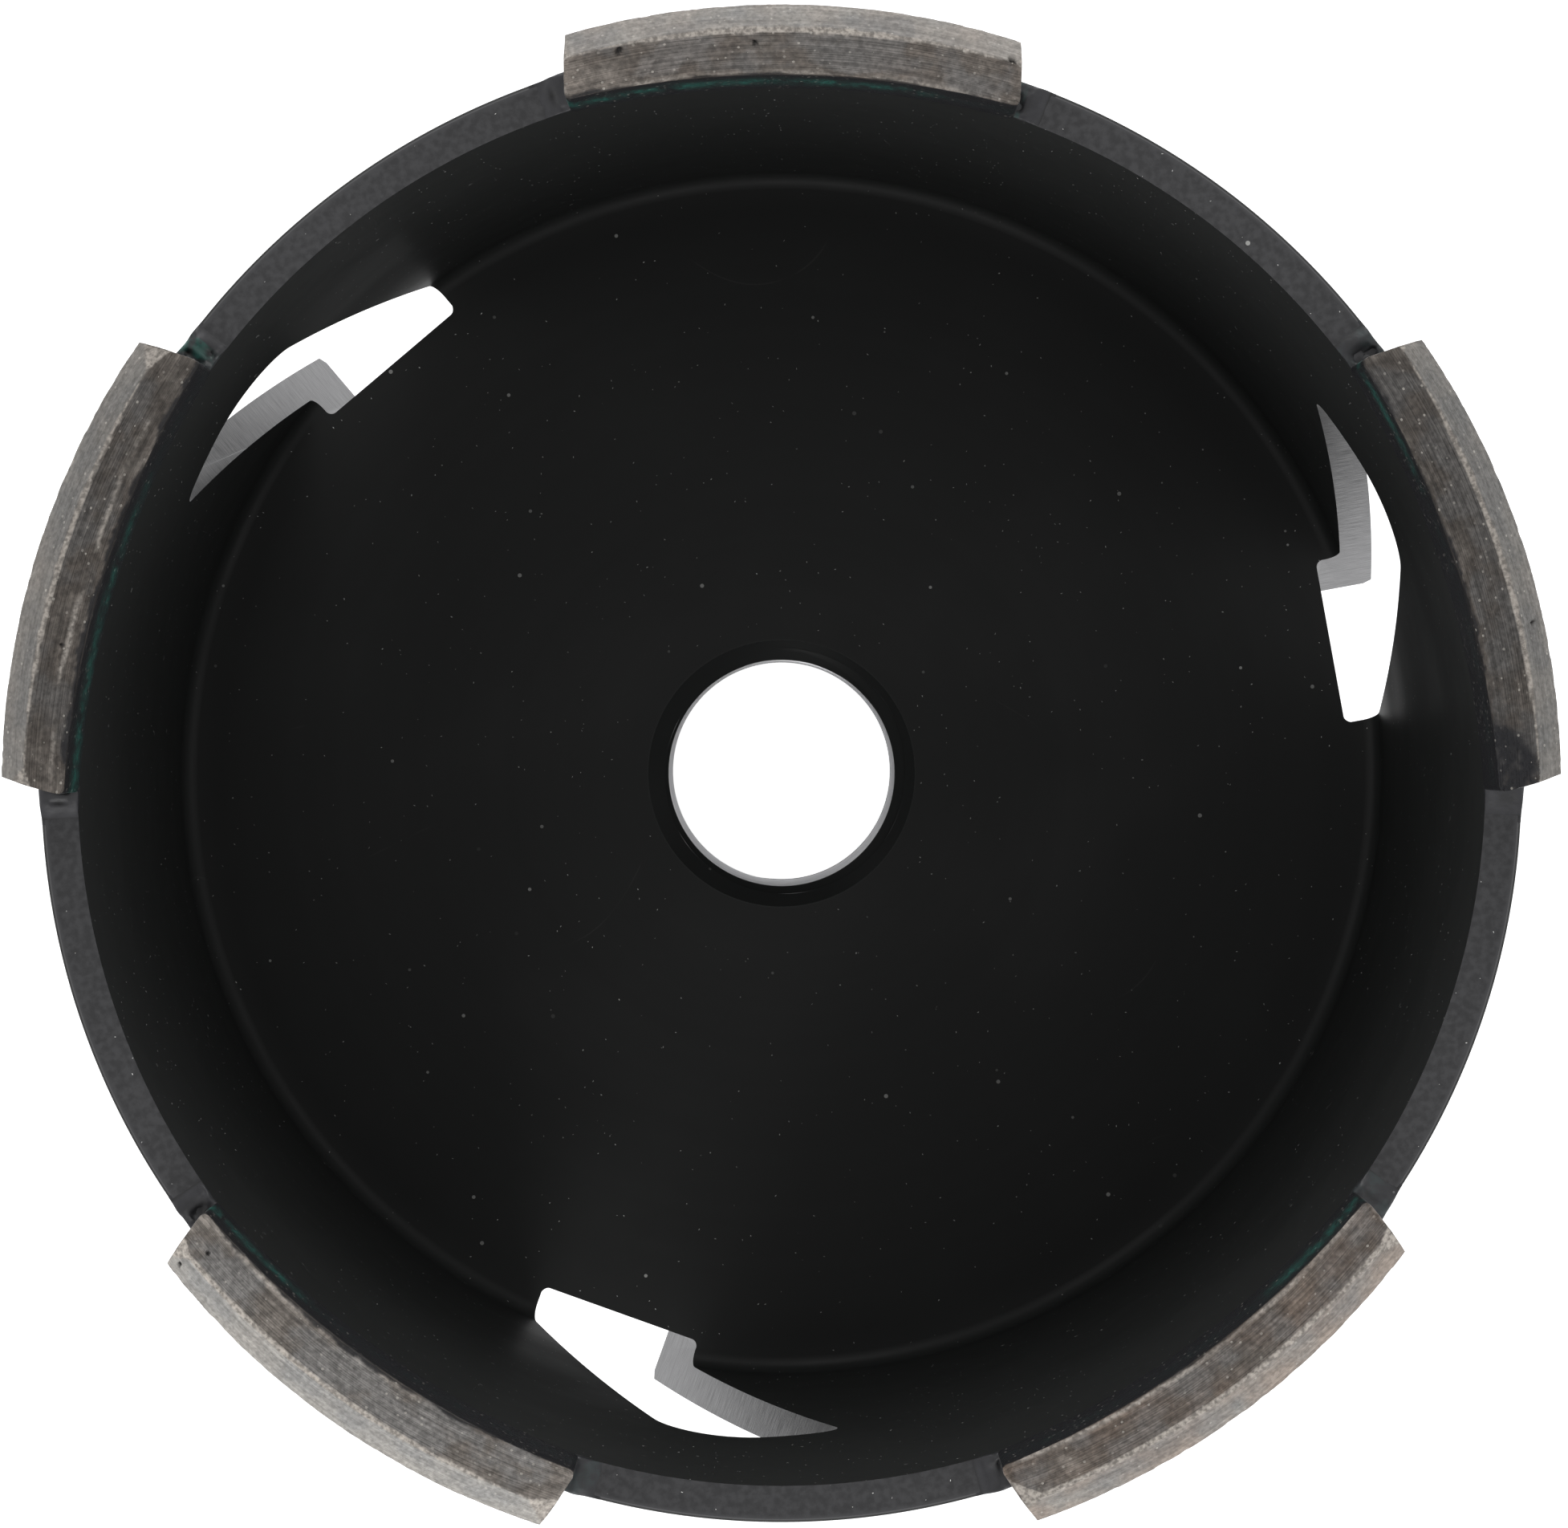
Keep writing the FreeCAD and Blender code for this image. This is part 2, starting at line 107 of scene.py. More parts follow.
class WindowSettings(bpy.types.PropertyGroup):
    count: IntProperty(name="Count", description="Windows round the wall", default=3, min=1)
    width: length("Width", "Width across the slot", 10.0)
    lean: angle("Lean", "How far the slot leans from upright", 17.6)
    shift: length("Shift", "Where the slot's middle line meets the floor", 1.98)
    rise: length("Rise", "Length of the slot's middle line over the floor", 32.3)
    end_slope: angle("End slope", "How far the slot's end is off square", 11.0)
    lead_radius: length("Lead radius", "Rounding of the end's upper corner", 4.5)
    tail_radius: length("Tail radius", "Rounding of the end's lower corner", 1.5)
    notch_depth: length("Notch depth", "How far the slot goes into the base", 4.28)
    notch_corner: length("Notch corner", "Rounding of the corners at the notch's bottom", 0.4)
    steel: colour("Cut steel", "Bare steel where the windows were milled", (0.195, 0.195, 0.20))


class ThreadSettings(bpy.types.PropertyGroup):
    pitch: length("Pitch", "Distance from turn to turn", 1.5)
    crest_radius: length("Crest radius", "Narrowest part of the thread", 7.25)
    root_radius: length("Root radius", "Widest part of the thread", 8.0)
    steps: IntProperty(name="Steps", description="Faces round the bore", default=120, min=24)
    rows: IntProperty(name="Rows", description="Faces in one pitch of the thread", default=16, min=8)
    steel: colour("Thread steel", "Bare steel of the thread", (0.86, 0.86, 0.88))


class SegmentSettings(bpy.types.PropertyGroup):
    outer_radius: length("Outer radius", "Half the diameter that the bit cuts", 41.0)
    half_length: length("Half length", "Half the length of a segment", 12.0)
    height: length("Height", "Height of a segment over its weld", 10.0)
    thickness: length("Thickness", "Thickness at the middle", 3.63)
    inner_arc_radius: length("Inner arc", "Radius of the flatter inner face", 48.0)
    outer_slope_width: length("Outer slope", "Width of the roof's outer slope", 1.5)
    outer_slope_drop: length("Outer drop", "How far the outer slope falls", 1.4)
    inner_slope_drop: length("Inner drop", "How far the inner slope falls", 1.8)
    root_height: length("Root height", "Height of the narrower root", 2.0)
    root_overhang: length("Root overhang", "How far the root stands past the wall", 0.15)
    ridge_blunting: length("Ridge blunting", "How much of the ridge has broken away", 0.17)
    outer_tone: colour("Outer tone", "Matrix on the outer slope", (0.250, 0.240, 0.225))
    inner_tone_and_shade: colour("Inner tone", "Matrix on the inner slope", (0.110, 0.097, 0.086))
    smooth_tone: colour("Smooth tone", "Polished bluish patches", (0.170, 0.172, 0.174))
    grit: colour("Grit", "Fresh broken matrix with its grit", (0.385, 0.352, 0.318))


class WeldSettings(bpy.types.PropertyGroup):
    height: length("Height", "Height of the weld over the rim", (seam_high.z - seam_low.z) / MM)
    overhang: length("Overhang", "How far the weld stands past the wall", 0.15)
    runout: length("Run-out", "How far the weld goes on past a segment", 2.7)
    metal: colour("Weld metal", "Finish over the weld", (0.019, 0.019, 0.022))
    teal: colour("Teal", "Green coat that shows at the welds", (0.022, 0.110, 0.090))


class DustSettings(bpy.types.PropertyGroup):
    per_area: FloatProperty(name="Specks", description="Specks on a square metre", default=230000.0, min=0.0)
    size: length("Size", "Width of a usual speck", 0.036)
    seed: IntProperty(name="Seed", description="Another seed scatters the specks anew", default=7)
    tone: colour("Tone", "Pale stone dust", (0.80, 0.80, 0.78))


class StageSettings(bpy.types.PropertyGroup):
    floor_width: FloatProperty(name="Floor", description="Width of the floor", default=6.0, unit="LENGTH")
    floor_glow: share("Floor glow", "How much the pale floor shines by itself", 0.96, 2.0)
    sky: share("Sky", "Strength of the even light round the bit", 0.68, 4.0)
    long_box: FloatProperty(name="Long boxes", description="Power above and below", default=1.9, unit="POWER")
    side_box: FloatProperty(name="Side boxes", description="Power left and right", default=0.6, unit="POWER")
    lens: FloatProperty(name="Lens", description="Focal length in millimetres", default=120.71, min=10.0)
    camera_height: length("Camera height", "Camera over the hub's back", 353.3)


class BitSettings(bpy.types.PropertyGroup):
    cup: PointerProperty(type=CupSettings, name="Cup", description="Sizes and finish of the cup")
    window: PointerProperty(type=WindowSettings, name="Windows", description="Sizes of the windows")
    thread: PointerProperty(type=ThreadSettings, name="Thread", description="Sizes of the arbor thread")
    segment: PointerProperty(type=SegmentSettings, name="Segments", description="Sizes of the segments")
    weld: PointerProperty(type=WeldSettings, name="Welds", description="Sizes of the welds")
    dust: PointerProperty(type=DustSettings, name="Dust", description="Dust in the cup")
    stage: PointerProperty(type=StageSettings, name="Stage", description="Floor, light and camera")


# Shape helpers

def add_piece(name, vertices, faces):
    mesh = bpy.data.meshes.new(name)
    mesh.from_pydata([tuple(v) for v in vertices], [], faces)
    mesh.update()
    piece = bpy.data.objects.new(name, mesh)
    bpy.context.scene.collection.objects.link(piece)
    return piece


def edit_mesh(piece, change):
    # runs a change on the piece's mesh in bmesh and writes it back
    grid = bmesh.new()
    grid.from_mesh(piece.data)
    change(grid)
    grid.to_mesh(piece.data)
    grid.free()
    piece.data.update()


def weld_and_face_outwards(piece, distance=1e-7):
    def change(grid):
        bmesh.ops.remove_doubles(grid, verts=grid.verts, dist=distance)
        bmesh.ops.recalc_face_normals(grid, faces=grid.faces)
    edit_mesh(piece, change)


def smooth_by_angle(piece, degrees):
    piece.data.shade_smooth()
    piece.data.set_sharp_from_angle(angle=math.radians(degrees))


def read_vertices(mesh, what="co"):
    values = np.zeros(len(mesh.vertices) * 3)
    mesh.vertices.foreach_get(what, values)
    return values.reshape(-1, 3)


def write_points(mesh, points):
    mesh.vertices.foreach_set("co", points.ravel())
    mesh.update()


def write_mask(mesh, name, values):
    mask = mesh.attributes.new(name, "FLOAT", "POINT")
    mask.data.foreach_set("value", values.astype(np.float32))


def write_uv(mesh, name, along, across):
    # one UV place for each vertex, given to all the corners that meet there
    corners = np.zeros(len(mesh.loops), dtype=np.int32)
    mesh.loops.foreach_get("vertex_index", corners)
    places = np.column_stack([along, across])[corners]
    layer = mesh.uv_layers.new(name=name)
    layer.uv.foreach_set("vector", places.astype(np.float32).ravel())


def scramble(cells, seed):
    # a steady number from 0 to 1 for each whole-numbered cell
    mixed = np.sin(cells @ np.array([127.1, 311.7, 74.7]) + seed * 17.31) * 43758.5453
    return mixed - np.floor(mixed)


def cloud(points, cell, seed=0):
    # smooth noise from -1 to 1 with lumps about one cell wide
    scaled = points / cell
    base = np.floor(scaled)
    part = scaled - base
    part = part * part * (3 - 2 * part)
    total = np.zeros(len(points))
    for corner in range(8):
        step = np.array([corner & 1, corner >> 1 & 1, corner >> 2 & 1])
        weight = np.prod(np.where(step == 1, part, 1 - part), axis=1)
        total += weight * scramble(base + step, seed)
    return total * 2 - 1


def rough(points, cell, seed=0, layers=3):
    # noise with finer lumps on the coarse ones
    total = np.zeros(len(points))
    for layer in range(layers):
        total += cloud(points, cell / 2 ** layer, seed + layer) / 2 ** layer
    return total


def ease(values, low, high):
    part = np.clip((values - low) / (high - low), 0, 1)
    return part * part * (3 - 2 * part)


def settle_modifiers(piece):
    # works out the modifiers and keeps the result as the piece's plain mesh
    graph = bpy.context.evaluated_depsgraph_get()
    mesh = bpy.data.meshes.new_from_object(piece.evaluated_get(graph), depsgraph=graph)
    mesh.name = piece.name
    piece.modifiers.clear()
    piece.data = mesh


# Node helpers

NODE_STEP = (190, 170)


def give(tree, socket, value):
    # links a socket to what another node puts out, or sets it
    if isinstance(value, bpy.types.NodeSocket):
        tree.links.new(value, socket)
    elif socket.type == "RGBA":
        socket.default_value = (*value[:3], 1.0)
    else:
        socket.default_value = value


def add_socket(tree, name, kind, way="INPUT", value=None):
    socket = tree.interface.new_socket(name=name, in_out=way, socket_type="NodeSocket" + kind)
    if value is not None:
        socket.default_value = value


def add_node(tree, kind, inputs=None, **settings):
    # a node with its settings, and values or links for its inputs
    made = tree.nodes.new(kind)
    for name, value in settings.items():
        setattr(made, name, value)
    for name, value in (inputs or {}).items():
        give(tree, made.inputs[name], value)
    return made


def calc(tree, operation, *values, clamp=False):
    inputs = dict(enumerate(values))
    return add_node(tree, "ShaderNodeMath", inputs, operation=operation, use_clamp=clamp).outputs[0]


def ramp(tree, value, low, high, to_low=0.0, to_high=1.0, curve="SMOOTHSTEP"):
    ends = {"Value": value, "From Min": low, "From Max": high, "To Min": to_low, "To Max": to_high}
    return add_node(tree, "ShaderNodeMapRange", ends, interpolation_type=curve).outputs["Result"]


def noise(tree, place, scale, detail):
    inputs = {"Vector": place, "Scale": scale, "Detail": detail}
    return add_node(tree, "ShaderNodeTexNoise", inputs).outputs["Fac"]


def mix(tree, factor, first, second):
    return add_node(tree, "ShaderNodeMix", {0: factor, 6: first, 7: second}, data_type="RGBA").outputs[2]


def vector_math(tree, operation, inputs):
    return add_node(tree, "ShaderNodeVectorMath", inputs, operation=operation)


def split_place(tree, place):
    return add_node(tree, "ShaderNodeSeparateXYZ", {"Vector": place}).outputs


def join_place(tree, x=0.0, y=0.0, z=0.0):
    return add_node(tree, "ShaderNodeCombineXYZ", {"X": x, "Y": y, "Z": z}).outputs[0]


def read_mask(tree, name):
    return add_node(tree, "ShaderNodeAttribute", attribute_name=name).outputs["Fac"]


def read_uv(tree, name):
    return add_node(tree, "ShaderNodeUVMap", uv_map=name).outputs["UV"]


def shade(tone, gain):
    return [part * gain for part in tone]


def lay_out(tree):
    # sets each node one column to the right of the last node that feeds it
    columns = {}

    def column(node):
        if node.name not in columns:
            feeds = [link.from_node for socket in node.inputs for link in socket.links]
            columns[node.name] = 1 + max((column(feed) for feed in feeds), default=-1)
        return columns[node.name]

    filled = {}
    for node in tree.nodes:
        across = column(node)
        down = filled.get(across, 0)
        filled[across] = down + 1
        node.location = (across * NODE_STEP[0], -down * NODE_STEP[1])


# Shader groups

def new_group(name, inputs, outputs):
    # a shader node group that takes a place and some numbers, and puts out numbers
    tree = bpy.data.node_groups.new(name, "ShaderNodeTree")
    add_socket(tree, "Place", "Vector")
    for socket, value in inputs.items():
        add_socket(tree, socket, "Float", value=value)
    for socket in outputs:
        add_socket(tree, socket, "Float", "OUTPUT")
    return tree, add_node(tree, "NodeGroupInput").outputs


def put_out(tree, values):
    add_node(tree, "NodeGroupOutput", values)
    lay_out(tree)
    return tree


def build_turning_marks(name):
    # fine rings about Z, from the lathe, as a height and a tone
    tree, given = new_group(name, {"Rings": 9000.0}, ("Height", "Tone", "Radius"))
    x, y, z = split_place(tree, given["Place"])
    radius = vector_math(tree, "LENGTH", {0: join_place(tree, x, y)}).outputs["Value"]
    ringed = calc(tree, "MULTIPLY", radius, given["Rings"])
    stacked = calc(tree, "MULTIPLY", z, given["Rings"])
    drift = calc(tree, "MULTIPLY", x, 60.0)
    bent = join_place(tree, ringed, stacked, drift)
    fine = noise(tree, bent, 1.0, 2.0)
    coarse = noise(tree, bent, 0.12, 1.0)
    return put_out(tree, {"Height": fine, "Tone": coarse, "Radius": radius})


def build_specks(name):
    # small pale specks, most cells left empty
    tree, given = new_group(name, {"Fineness": 1500.0, "Share": 0.1, "Width": 0.1}, ("Mask",))
    inputs = {"Vector": given["Place"], "Scale": given["Fineness"]}
    cells = add_node(tree, "ShaderNodeTexVoronoi", inputs).outputs
    near = calc(tree, "LESS_THAN", cells["Distance"], given["Width"])
    drawn = add_node(tree, "ShaderNodeSeparateColor", {"Color": cells["Color"]}).outputs
    chosen = calc(tree, "LESS_THAN", drawn["Red"], given["Share"])
    mask = calc(tree, "MULTIPLY", near, chosen)
    return put_out(tree, {"Mask": calc(tree, "MULTIPLY", mask, drawn["Green"])})


def build_streaks(name):
    # grinding or milling lines along the first direction of a UV map
    tree, given = new_group(name, {"Lines": 9000.0, "Stretch": 0.03}, ("Height", "Tone"))
    x, y, _ = split_place(tree, given["Place"])
    across = calc(tree, "MULTIPLY", y, given["Lines"])
    slow = calc(tree, "MULTIPLY", given["Lines"], given["Stretch"])
    bent = join_place(tree, calc(tree, "MULTIPLY", x, slow), across)
    return put_out(tree, {"Height": noise(tree, bent, 1.0, 3.0), "Tone": noise(tree, bent, 0.22, 2.0)})


def build_scratches(name):
    # a few thin curved scratches, where a smooth noise passes its middle
    tree, given = new_group(name, {"Fineness": 90.0, "Width": 0.0015}, ("Mask",))
    wave = noise(tree, given["Place"], given["Fineness"], 0.0)
    level = calc(tree, "ABSOLUTE", calc(tree, "SUBTRACT", wave, 0.5))
    thin = calc(tree, "LESS_THAN", level, given["Width"])
    kept = ramp(tree, noise(tree, given["Place"], 140.0, 2.0), 0.62, 0.70)
    return put_out(tree, {"Mask": calc(tree, "MULTIPLY", thin, kept)})


EFFECTS = {
    "turning_marks": build_turning_marks,
    "specks": build_specks,
    "streaks": build_streaks,
    "scratches": build_scratches,
}


def effect(tree, name, place, **values):
    # a shader group set in a tree, built when it is first asked for
    group = bpy.data.node_groups.get(name) or EFFECTS[name](name)
    return add_node(tree, "ShaderNodeGroup", {"Place": place, **values}, node_tree=group).outputs


# Materials

DUST_ON_PAINT = (0.30, 0.30, 0.29)
DUST_ON_WELD = (0.3, 0.3, 0.3)
PIT_BLACK = (0.004, 0.004, 0.004)
PIT_SHADE_BLACK = (0.008, 0.007, 0.007)
GLINT = (0.55, 0.52, 0.47)
BROWNING = (1.05, 0.93, 0.86)


def material_once(name, finish, *settings):
    # the material of that name, finished when it is first asked for
    material = bpy.data.materials.get(name)
    if material is None:
        material = bpy.data.materials.new(name)
        material.use_nodes = True
        tree = material.node_tree
        place = add_node(tree, "ShaderNodeTexCoord").outputs["Object"]
        shader = tree.nodes["Principled BSDF"].inputs
        for socket, value in finish(tree, place, *settings).items():
            give(tree, shader[socket], value)
        if not place.is_linked:
            tree.nodes.remove(place.node)
        lay_out(tree)
    return material


def bump(tree, height, strength, distance):
    inputs = {"Height": height, "Strength": strength, "Distance": distance}
    return add_node(tree, "ShaderNodeBump", inputs).outputs["Normal"]


def black_finish(tree, place, cup):
    marks = effect(tree, "turning_marks", place, Rings=7000.0)
    radius = marks["Radius"]
    level = split_place(tree, place)["Z"]
    cloudy = noise(tree, place, 70.0, 5.0)
    grain = noise(tree, place, 2400.0, 5.0)
    paint = mix(tree, marks["Tone"], shade(cup.paint, 0.85), shade(cup.paint, 1.15))
    paint = mix(tree, ramp(tree, cloudy, 0.42, 0.72, 0.0, 0.5), paint, shade(cup.paint, 2.0))
    # painted light: the black is made paler in the countersinks and on the inside of the wall, where the
    # cup's depth shades them
    mouth = cup.countersink_radius
    in_mouth = ramp(tree, radius, mouth, mouth + 0.1 * MM, 1.0, 0.0)
    paint = mix(tree, in_mouth, paint, shade(cup.paint, 1.9))
    inner = cup.radius - cup.wall
    past_fillet = ramp(tree, radius, inner - 0.9 * MM, inner - 0.1 * MM)
    inside = ramp(tree, radius, inner + 0.4 * MM, inner + 1.0 * MM, 1.0, 0.0)
    paint = mix(tree, calc(tree, "MULTIPLY", past_fillet, inside), paint, shade(cup.paint, 1.9))
    # the rim is mottled, and worn paler at its outer edge
    on_rim = ramp(tree, level, cup.rim_level - 0.12 * MM, cup.rim_level - 0.04 * MM)
    mottle = ramp(tree, grain, 0.33, 0.68)
    rim_tone = mix(tree, mottle, shade(cup.rim_paint, 0.80), shade(cup.rim_paint, 1.20))
    worn_edge = ramp(tree, radius, cup.radius - 0.45 * MM, cup.radius - 0.15 * MM)
    rim_tone = mix(tree, worn_edge, rim_tone, shade(cup.rim_paint, 1.35))
    paint = mix(tree, on_rim, paint, rim_tone)
    specks = effect(tree, "specks", place, Fineness=700.0, Share=0.10, Width=0.09)
    scratches = effect(tree, "scratches", place, Fineness=60.0)
    faint = calc(tree, "MULTIPLY", scratches["Mask"], 0.045)
    marked = calc(tree, "MAXIMUM", specks["Mask"], faint)
    both = calc(tree, "ADD", marks["Height"], grain)
    return {
        "Base Color": mix(tree, marked, paint, DUST_ON_PAINT),
        "Roughness": ramp(tree, cloudy, 0.3, 0.7, 0.42, 0.56),
        "Specular IOR Level": 0.22,
        "Normal": bump(tree, both, 0.12, 0.01 * MM),
    }


def cut_steel(tree, place, window):
    lines = effect(tree, "streaks", read_uv(tree, "milling"), Lines=8000.0, Stretch=0.10)
    steel = mix(tree, lines["Height"], shade(window.steel, 0.78), shade(window.steel, 1.12))
    bands = ramp(tree, lines["Tone"], 0.35, 0.7, 0.0, 0.45)
    steel = mix(tree, bands, steel, shade(window.steel, 0.7))
    # painted shade: the cuts grow darker towards the windows' upper ends, away from the glowing floor below
    shaded_upwards = ramp(tree, split_place(tree, place)["Z"], 14 * MM, 46 * MM, 0.0, 0.72)
    return {
        "Base Color": mix(tree, shaded_upwards, steel, shade(window.steel, 0.25)),
        "Metallic": 1.0,
        "Roughness": ramp(tree, lines["Height"], 0.3, 0.7, 0.32, 0.5),
        "Normal": bump(tree, lines["Height"], 0.5, 0.03 * MM),
    }


def thread_steel(tree, place, thread):
    marks = effect(tree, "turning_marks", place, Rings=9000.0)
    return {
        "Base Color": mix(tree, marks["Height"], shade(thread.steel, 0.7), shade(thread.steel, 1.15)),
        "Metallic": 1.0,
        "Roughness": 0.4,
        "Normal": bump(tree, marks["Height"], 0.3, 0.02 * MM),
    }


def diamond_matrix(tree, place, segment, weld):
    lines = effect(tree, "streaks", read_uv(tree, "grinding"), Lines=7500.0, Stretch=0.014)
    sand = noise(tree, place, 4200.0, 4.0)
    patches = noise(tree, place, 330.0, 5.0)
    crumbs = noise(tree, place, 2300.0, 2.0)
    masks = ("broken", "painted", "edge", "outer_side", "painted_light_gain", "warmth", "pit_shade", "greened")
    broken, painted, edge, outer_side, own, warmth, pit_shade, green = (read_mask(tree, name) for name in masks)
    # each slope's tone, the inner one browner and darker: partly its own colour, partly painted shade, as it
    # faces into the dark cup; smooth bluish patches and sandy ones lie on it
    tone = mix(tree, outer_side, segment.inner_tone_and_shade, segment.outer_tone)
    worn_patch = calc(tree, "MULTIPLY_ADD", edge, 0.14, patches)
    tone = mix(tree, ramp(tree, worn_patch, 0.42, 0.56, 0.45, 0.0), tone, segment.smooth_tone)
    tone = mix(tree, ramp(tree, worn_patch, 0.54, 0.72, 0.0, 0.24), tone, segment.grit)
    # grinding lines and crumbs show most on the inner slope
    line_gain = calc(tree, "SUBTRACT", ramp(tree, lines["Height"], 0.34, 0.66, 0.72, 1.28), 1.0)
    line_share = calc(tree, "MULTIPLY_ADD", outer_side, -0.65, 1.0)
    gain = calc(tree, "MULTIPLY_ADD", line_gain, line_share, 1.0)
    crumb_high = calc(tree, "MULTIPLY_ADD", outer_side, -0.10, 1.19)
    crumb_low = calc(tree, "MULTIPLY_ADD", outer_side, 0.10, 0.81)
    crumb_span = calc(tree, "SUBTRACT", crumb_high, crumb_low)
    crumb_gain = calc(tree, "MULTIPLY_ADD", ramp(tree, crumbs, 0.34, 0.66), crumb_span, crumb_low)
    band_gain = ramp(tree, lines["Tone"], 0.34, 0.66, 0.90, 1.10)
    grain_gain = ramp(tree, sand, 0.32, 0.68, 0.84, 1.16)
    # own, a gain for each segment, is painted light: it makes whole segments lighter or darker, here and in
    # the fresh grit below, for light that falls unevenly round the bit
    for more in (band_gain, grain_gain, crumb_gain, own):
        gain = calc(tree, "MULTIPLY", gain, more)
    tone = vector_math(tree, "SCALE", {0: tone, 3: gain}).outputs[0]
    brown = vector_math(tree, "MULTIPLY", {0: tone, 1: BROWNING}).outputs[0]
    tone = mix(tree, warmth, tone, brown)
    # what broke away shows fresh grit, paint and the teal coat lie over it, and deep pits are painted black
    # as painted shade
    fresh_gain = ramp(tree, sand, 0.32, 0.68, 0.55, 1.30)
    fresh_gain = calc(tree, "MULTIPLY", fresh_gain, calc(tree, "MULTIPLY_ADD", own, 0.55, 0.45))
    fresh = vector_math(tree, "SCALE", {0: tuple(segment.grit), 3: fresh_gain}).outputs[0]
    green = calc(tree, "MULTIPLY", green, ramp(tree, sand, 0.40, 0.58, 0.25, 1.0))
    covers = ((broken, fresh), (painted, shade(weld.metal, 0.7)), (pit_shade, PIT_SHADE_BLACK), (green, weld.teal))
    for mask, cover in covers:
        tone = mix(tree, mask, tone, cover)
    specks = effect(tree, "specks", place, Fineness=2600.0, Share=0.42, Width=0.20)
    height = calc(tree, "ADD", lines["Height"], calc(tree, "MULTIPLY", sand, 1.4))
    height = calc(tree, "ADD", height, crumbs)
    return {
        "Base Color": mix(tree, calc(tree, "MULTIPLY", specks["Mask"], 0.5), tone, GLINT),
        "Metallic": calc(tree, "MULTIPLY_ADD", painted, -0.2, 0.2, clamp=True),
        "Roughness": calc(tree, "MULTIPLY_ADD", broken, 0.3, 0.5),
        "Specular IOR Level": 0.25,
        "Normal": bump(tree, height, 0.8, 0.07 * MM),
    }


def weld_metal(tree, place, weld):
    lumps = noise(tree, place, 1300.0, 5.0)
    tone = mix(tree, lumps, shade(weld.metal, 0.40), shade(weld.metal, 1.9))
    flecked = ramp(tree, lumps, 0.42, 0.60, 0.1, 0.9)
    green = calc(tree, "MULTIPLY", read_mask(tree, "greened"), flecked)
    teal = mix(tree, lumps, shade(weld.teal, 0.1), shade(weld.teal, 1.5))
    tone = mix(tree, green, tone, teal)
    # painted shade: the pits' hollows are painted black; the same mask also darkens a softer halo round each
    # pit and the thin line where the weld runs out
    tone = mix(tree, read_mask(tree, "pits"), tone, PIT_BLACK)
    specks = effect(tree, "specks", place, Fineness=1500.0, Share=0.12, Width=0.12)
    return {
        "Base Color": mix(tree, specks["Mask"], tone, DUST_ON_WELD),
        "Roughness": 0.45,
        "Normal": bump(tree, lumps, 0.5, 0.08 * MM),
    }


def pale_floor(tree, place, stage):
    return {
        "Base Color": (0.5, 0.5, 0.5),
        "Roughness": 0.9,
        "Specular IOR Level": 0.0,
        "Emission Color": (1.0, 1.0, 1.0),
        "Emission Strength": stage.floor_glow,
    }


def stone_dust(tree, place, dust):
    grey = noise(tree, place, 600.0, 1.0)
    return {"Base Color": mix(tree, grey, shade(dust.tone, 0.25), shade(dust.tone, 1.3)), "Roughness": 0.9}


# Cup body

# rings of faces between the corners, in millimetres: from, to and step
BASE_RINGS = (18, 38, 4)
FLOOR_RINGS = (36, 9, -1.5)
WALL_STEPS = 36
# the cutters' reach past what they cut, and their ends
CUT_PAST = 2 * MM
CUTTER_NEAR = 20 * MM
CUTTER_FAR = 50 * MM
MILLING_RADIUS = 38 * MM


def cup_profile(cup):
    # radius and level round the cup's section, from the bore's mouth at the back
    inner = cup.radius - cup.wall
    corners = [
        (cup.countersink_radius, 0.0),
        (cup.hub_radius - cup.hub_chamfer, 0.0),
        (cup.hub_radius, cup.hub_chamfer),
        (cup.hub_radius, cup.base_level),
    ]
    corners += [(radius * MM, cup.base_level) for radius in np.arange(*BASE_RINGS)]
    corners += [
        (cup.radius - cup.base_chamfer, cup.base_level),
        (cup.radius, cup.base_level + cup.base_chamfer),
    ]
    low = cup.base_level + cup.base_chamfer
    high = cup.rim_level - cup.rim_chamfer
    corners += [(cup.radius, level) for level in np.linspace(low, high, WALL_STEPS)[1:]]
    corners += [(cup.radius - cup.rim_chamfer, cup.rim_level), (inner, cup.rim_level)]
    foot = cup.floor_level + cup.floor_fillet
    corners += [(inner, level) for level in np.linspace(cup.rim_level, foot, WALL_STEPS - 4)[1:]]
    turn = np.radians(np.linspace(0, 90, 9)[1:])
    centre = inner - cup.floor_fillet
    fillet = cup.floor_fillet
    corners += [(centre + fillet * math.cos(t), foot - fillet * math.sin(t)) for t in turn]
    corners += [(radius * MM, cup.floor_level) for radius in np.arange(*FLOOR_RINGS)]
    corners += [(cup.countersink_radius, cup.floor_level)]
    corners += [(cup.countersink_radius, level) for level in (12 * MM, 6 * MM)]
    return corners


def turned(name, profile, steps):
    # the closed profile turned round Z
    turn = np.linspace(0, 2 * math.pi, steps, endpoint=False)
    count = len(profile)
    vertices = [(r * math.cos(t), r * math.sin(t), z) for t in turn for r, z in profile]
    faces = []
    for step in range(steps):
        here = step * count
        there = (step + 1) % steps * count
        for corner in range(count):
            after = (corner + 1) % count
            faces.append((here + corner, there + corner, there + after, here + after))
    piece = add_piece(name, vertices, faces)
    weld_and_face_outwards(piece)
    return piece


def rounded(before, corner, after, radius, steps=8):
    # points of a rounding between two straight sides
    back = (before - corner).normalized()
    ahead = (after - corner).normalized()
    half = back.angle(ahead) / 2
    centre = corner + (back + ahead).normalized() * (radius / math.sin(half))
    start = corner + back * (radius / math.tan(half)) - centre
    end = corner + ahead * (radius / math.tan(half)) - centre
    points = []
    for step in range(steps + 1):
        part = step / steps
        blend = start * math.sin((1 - part) * start.angle(end)) + end * math.sin(part * start.angle(end))
        points.append(centre + blend / math.sin(start.angle(end)))
    return points


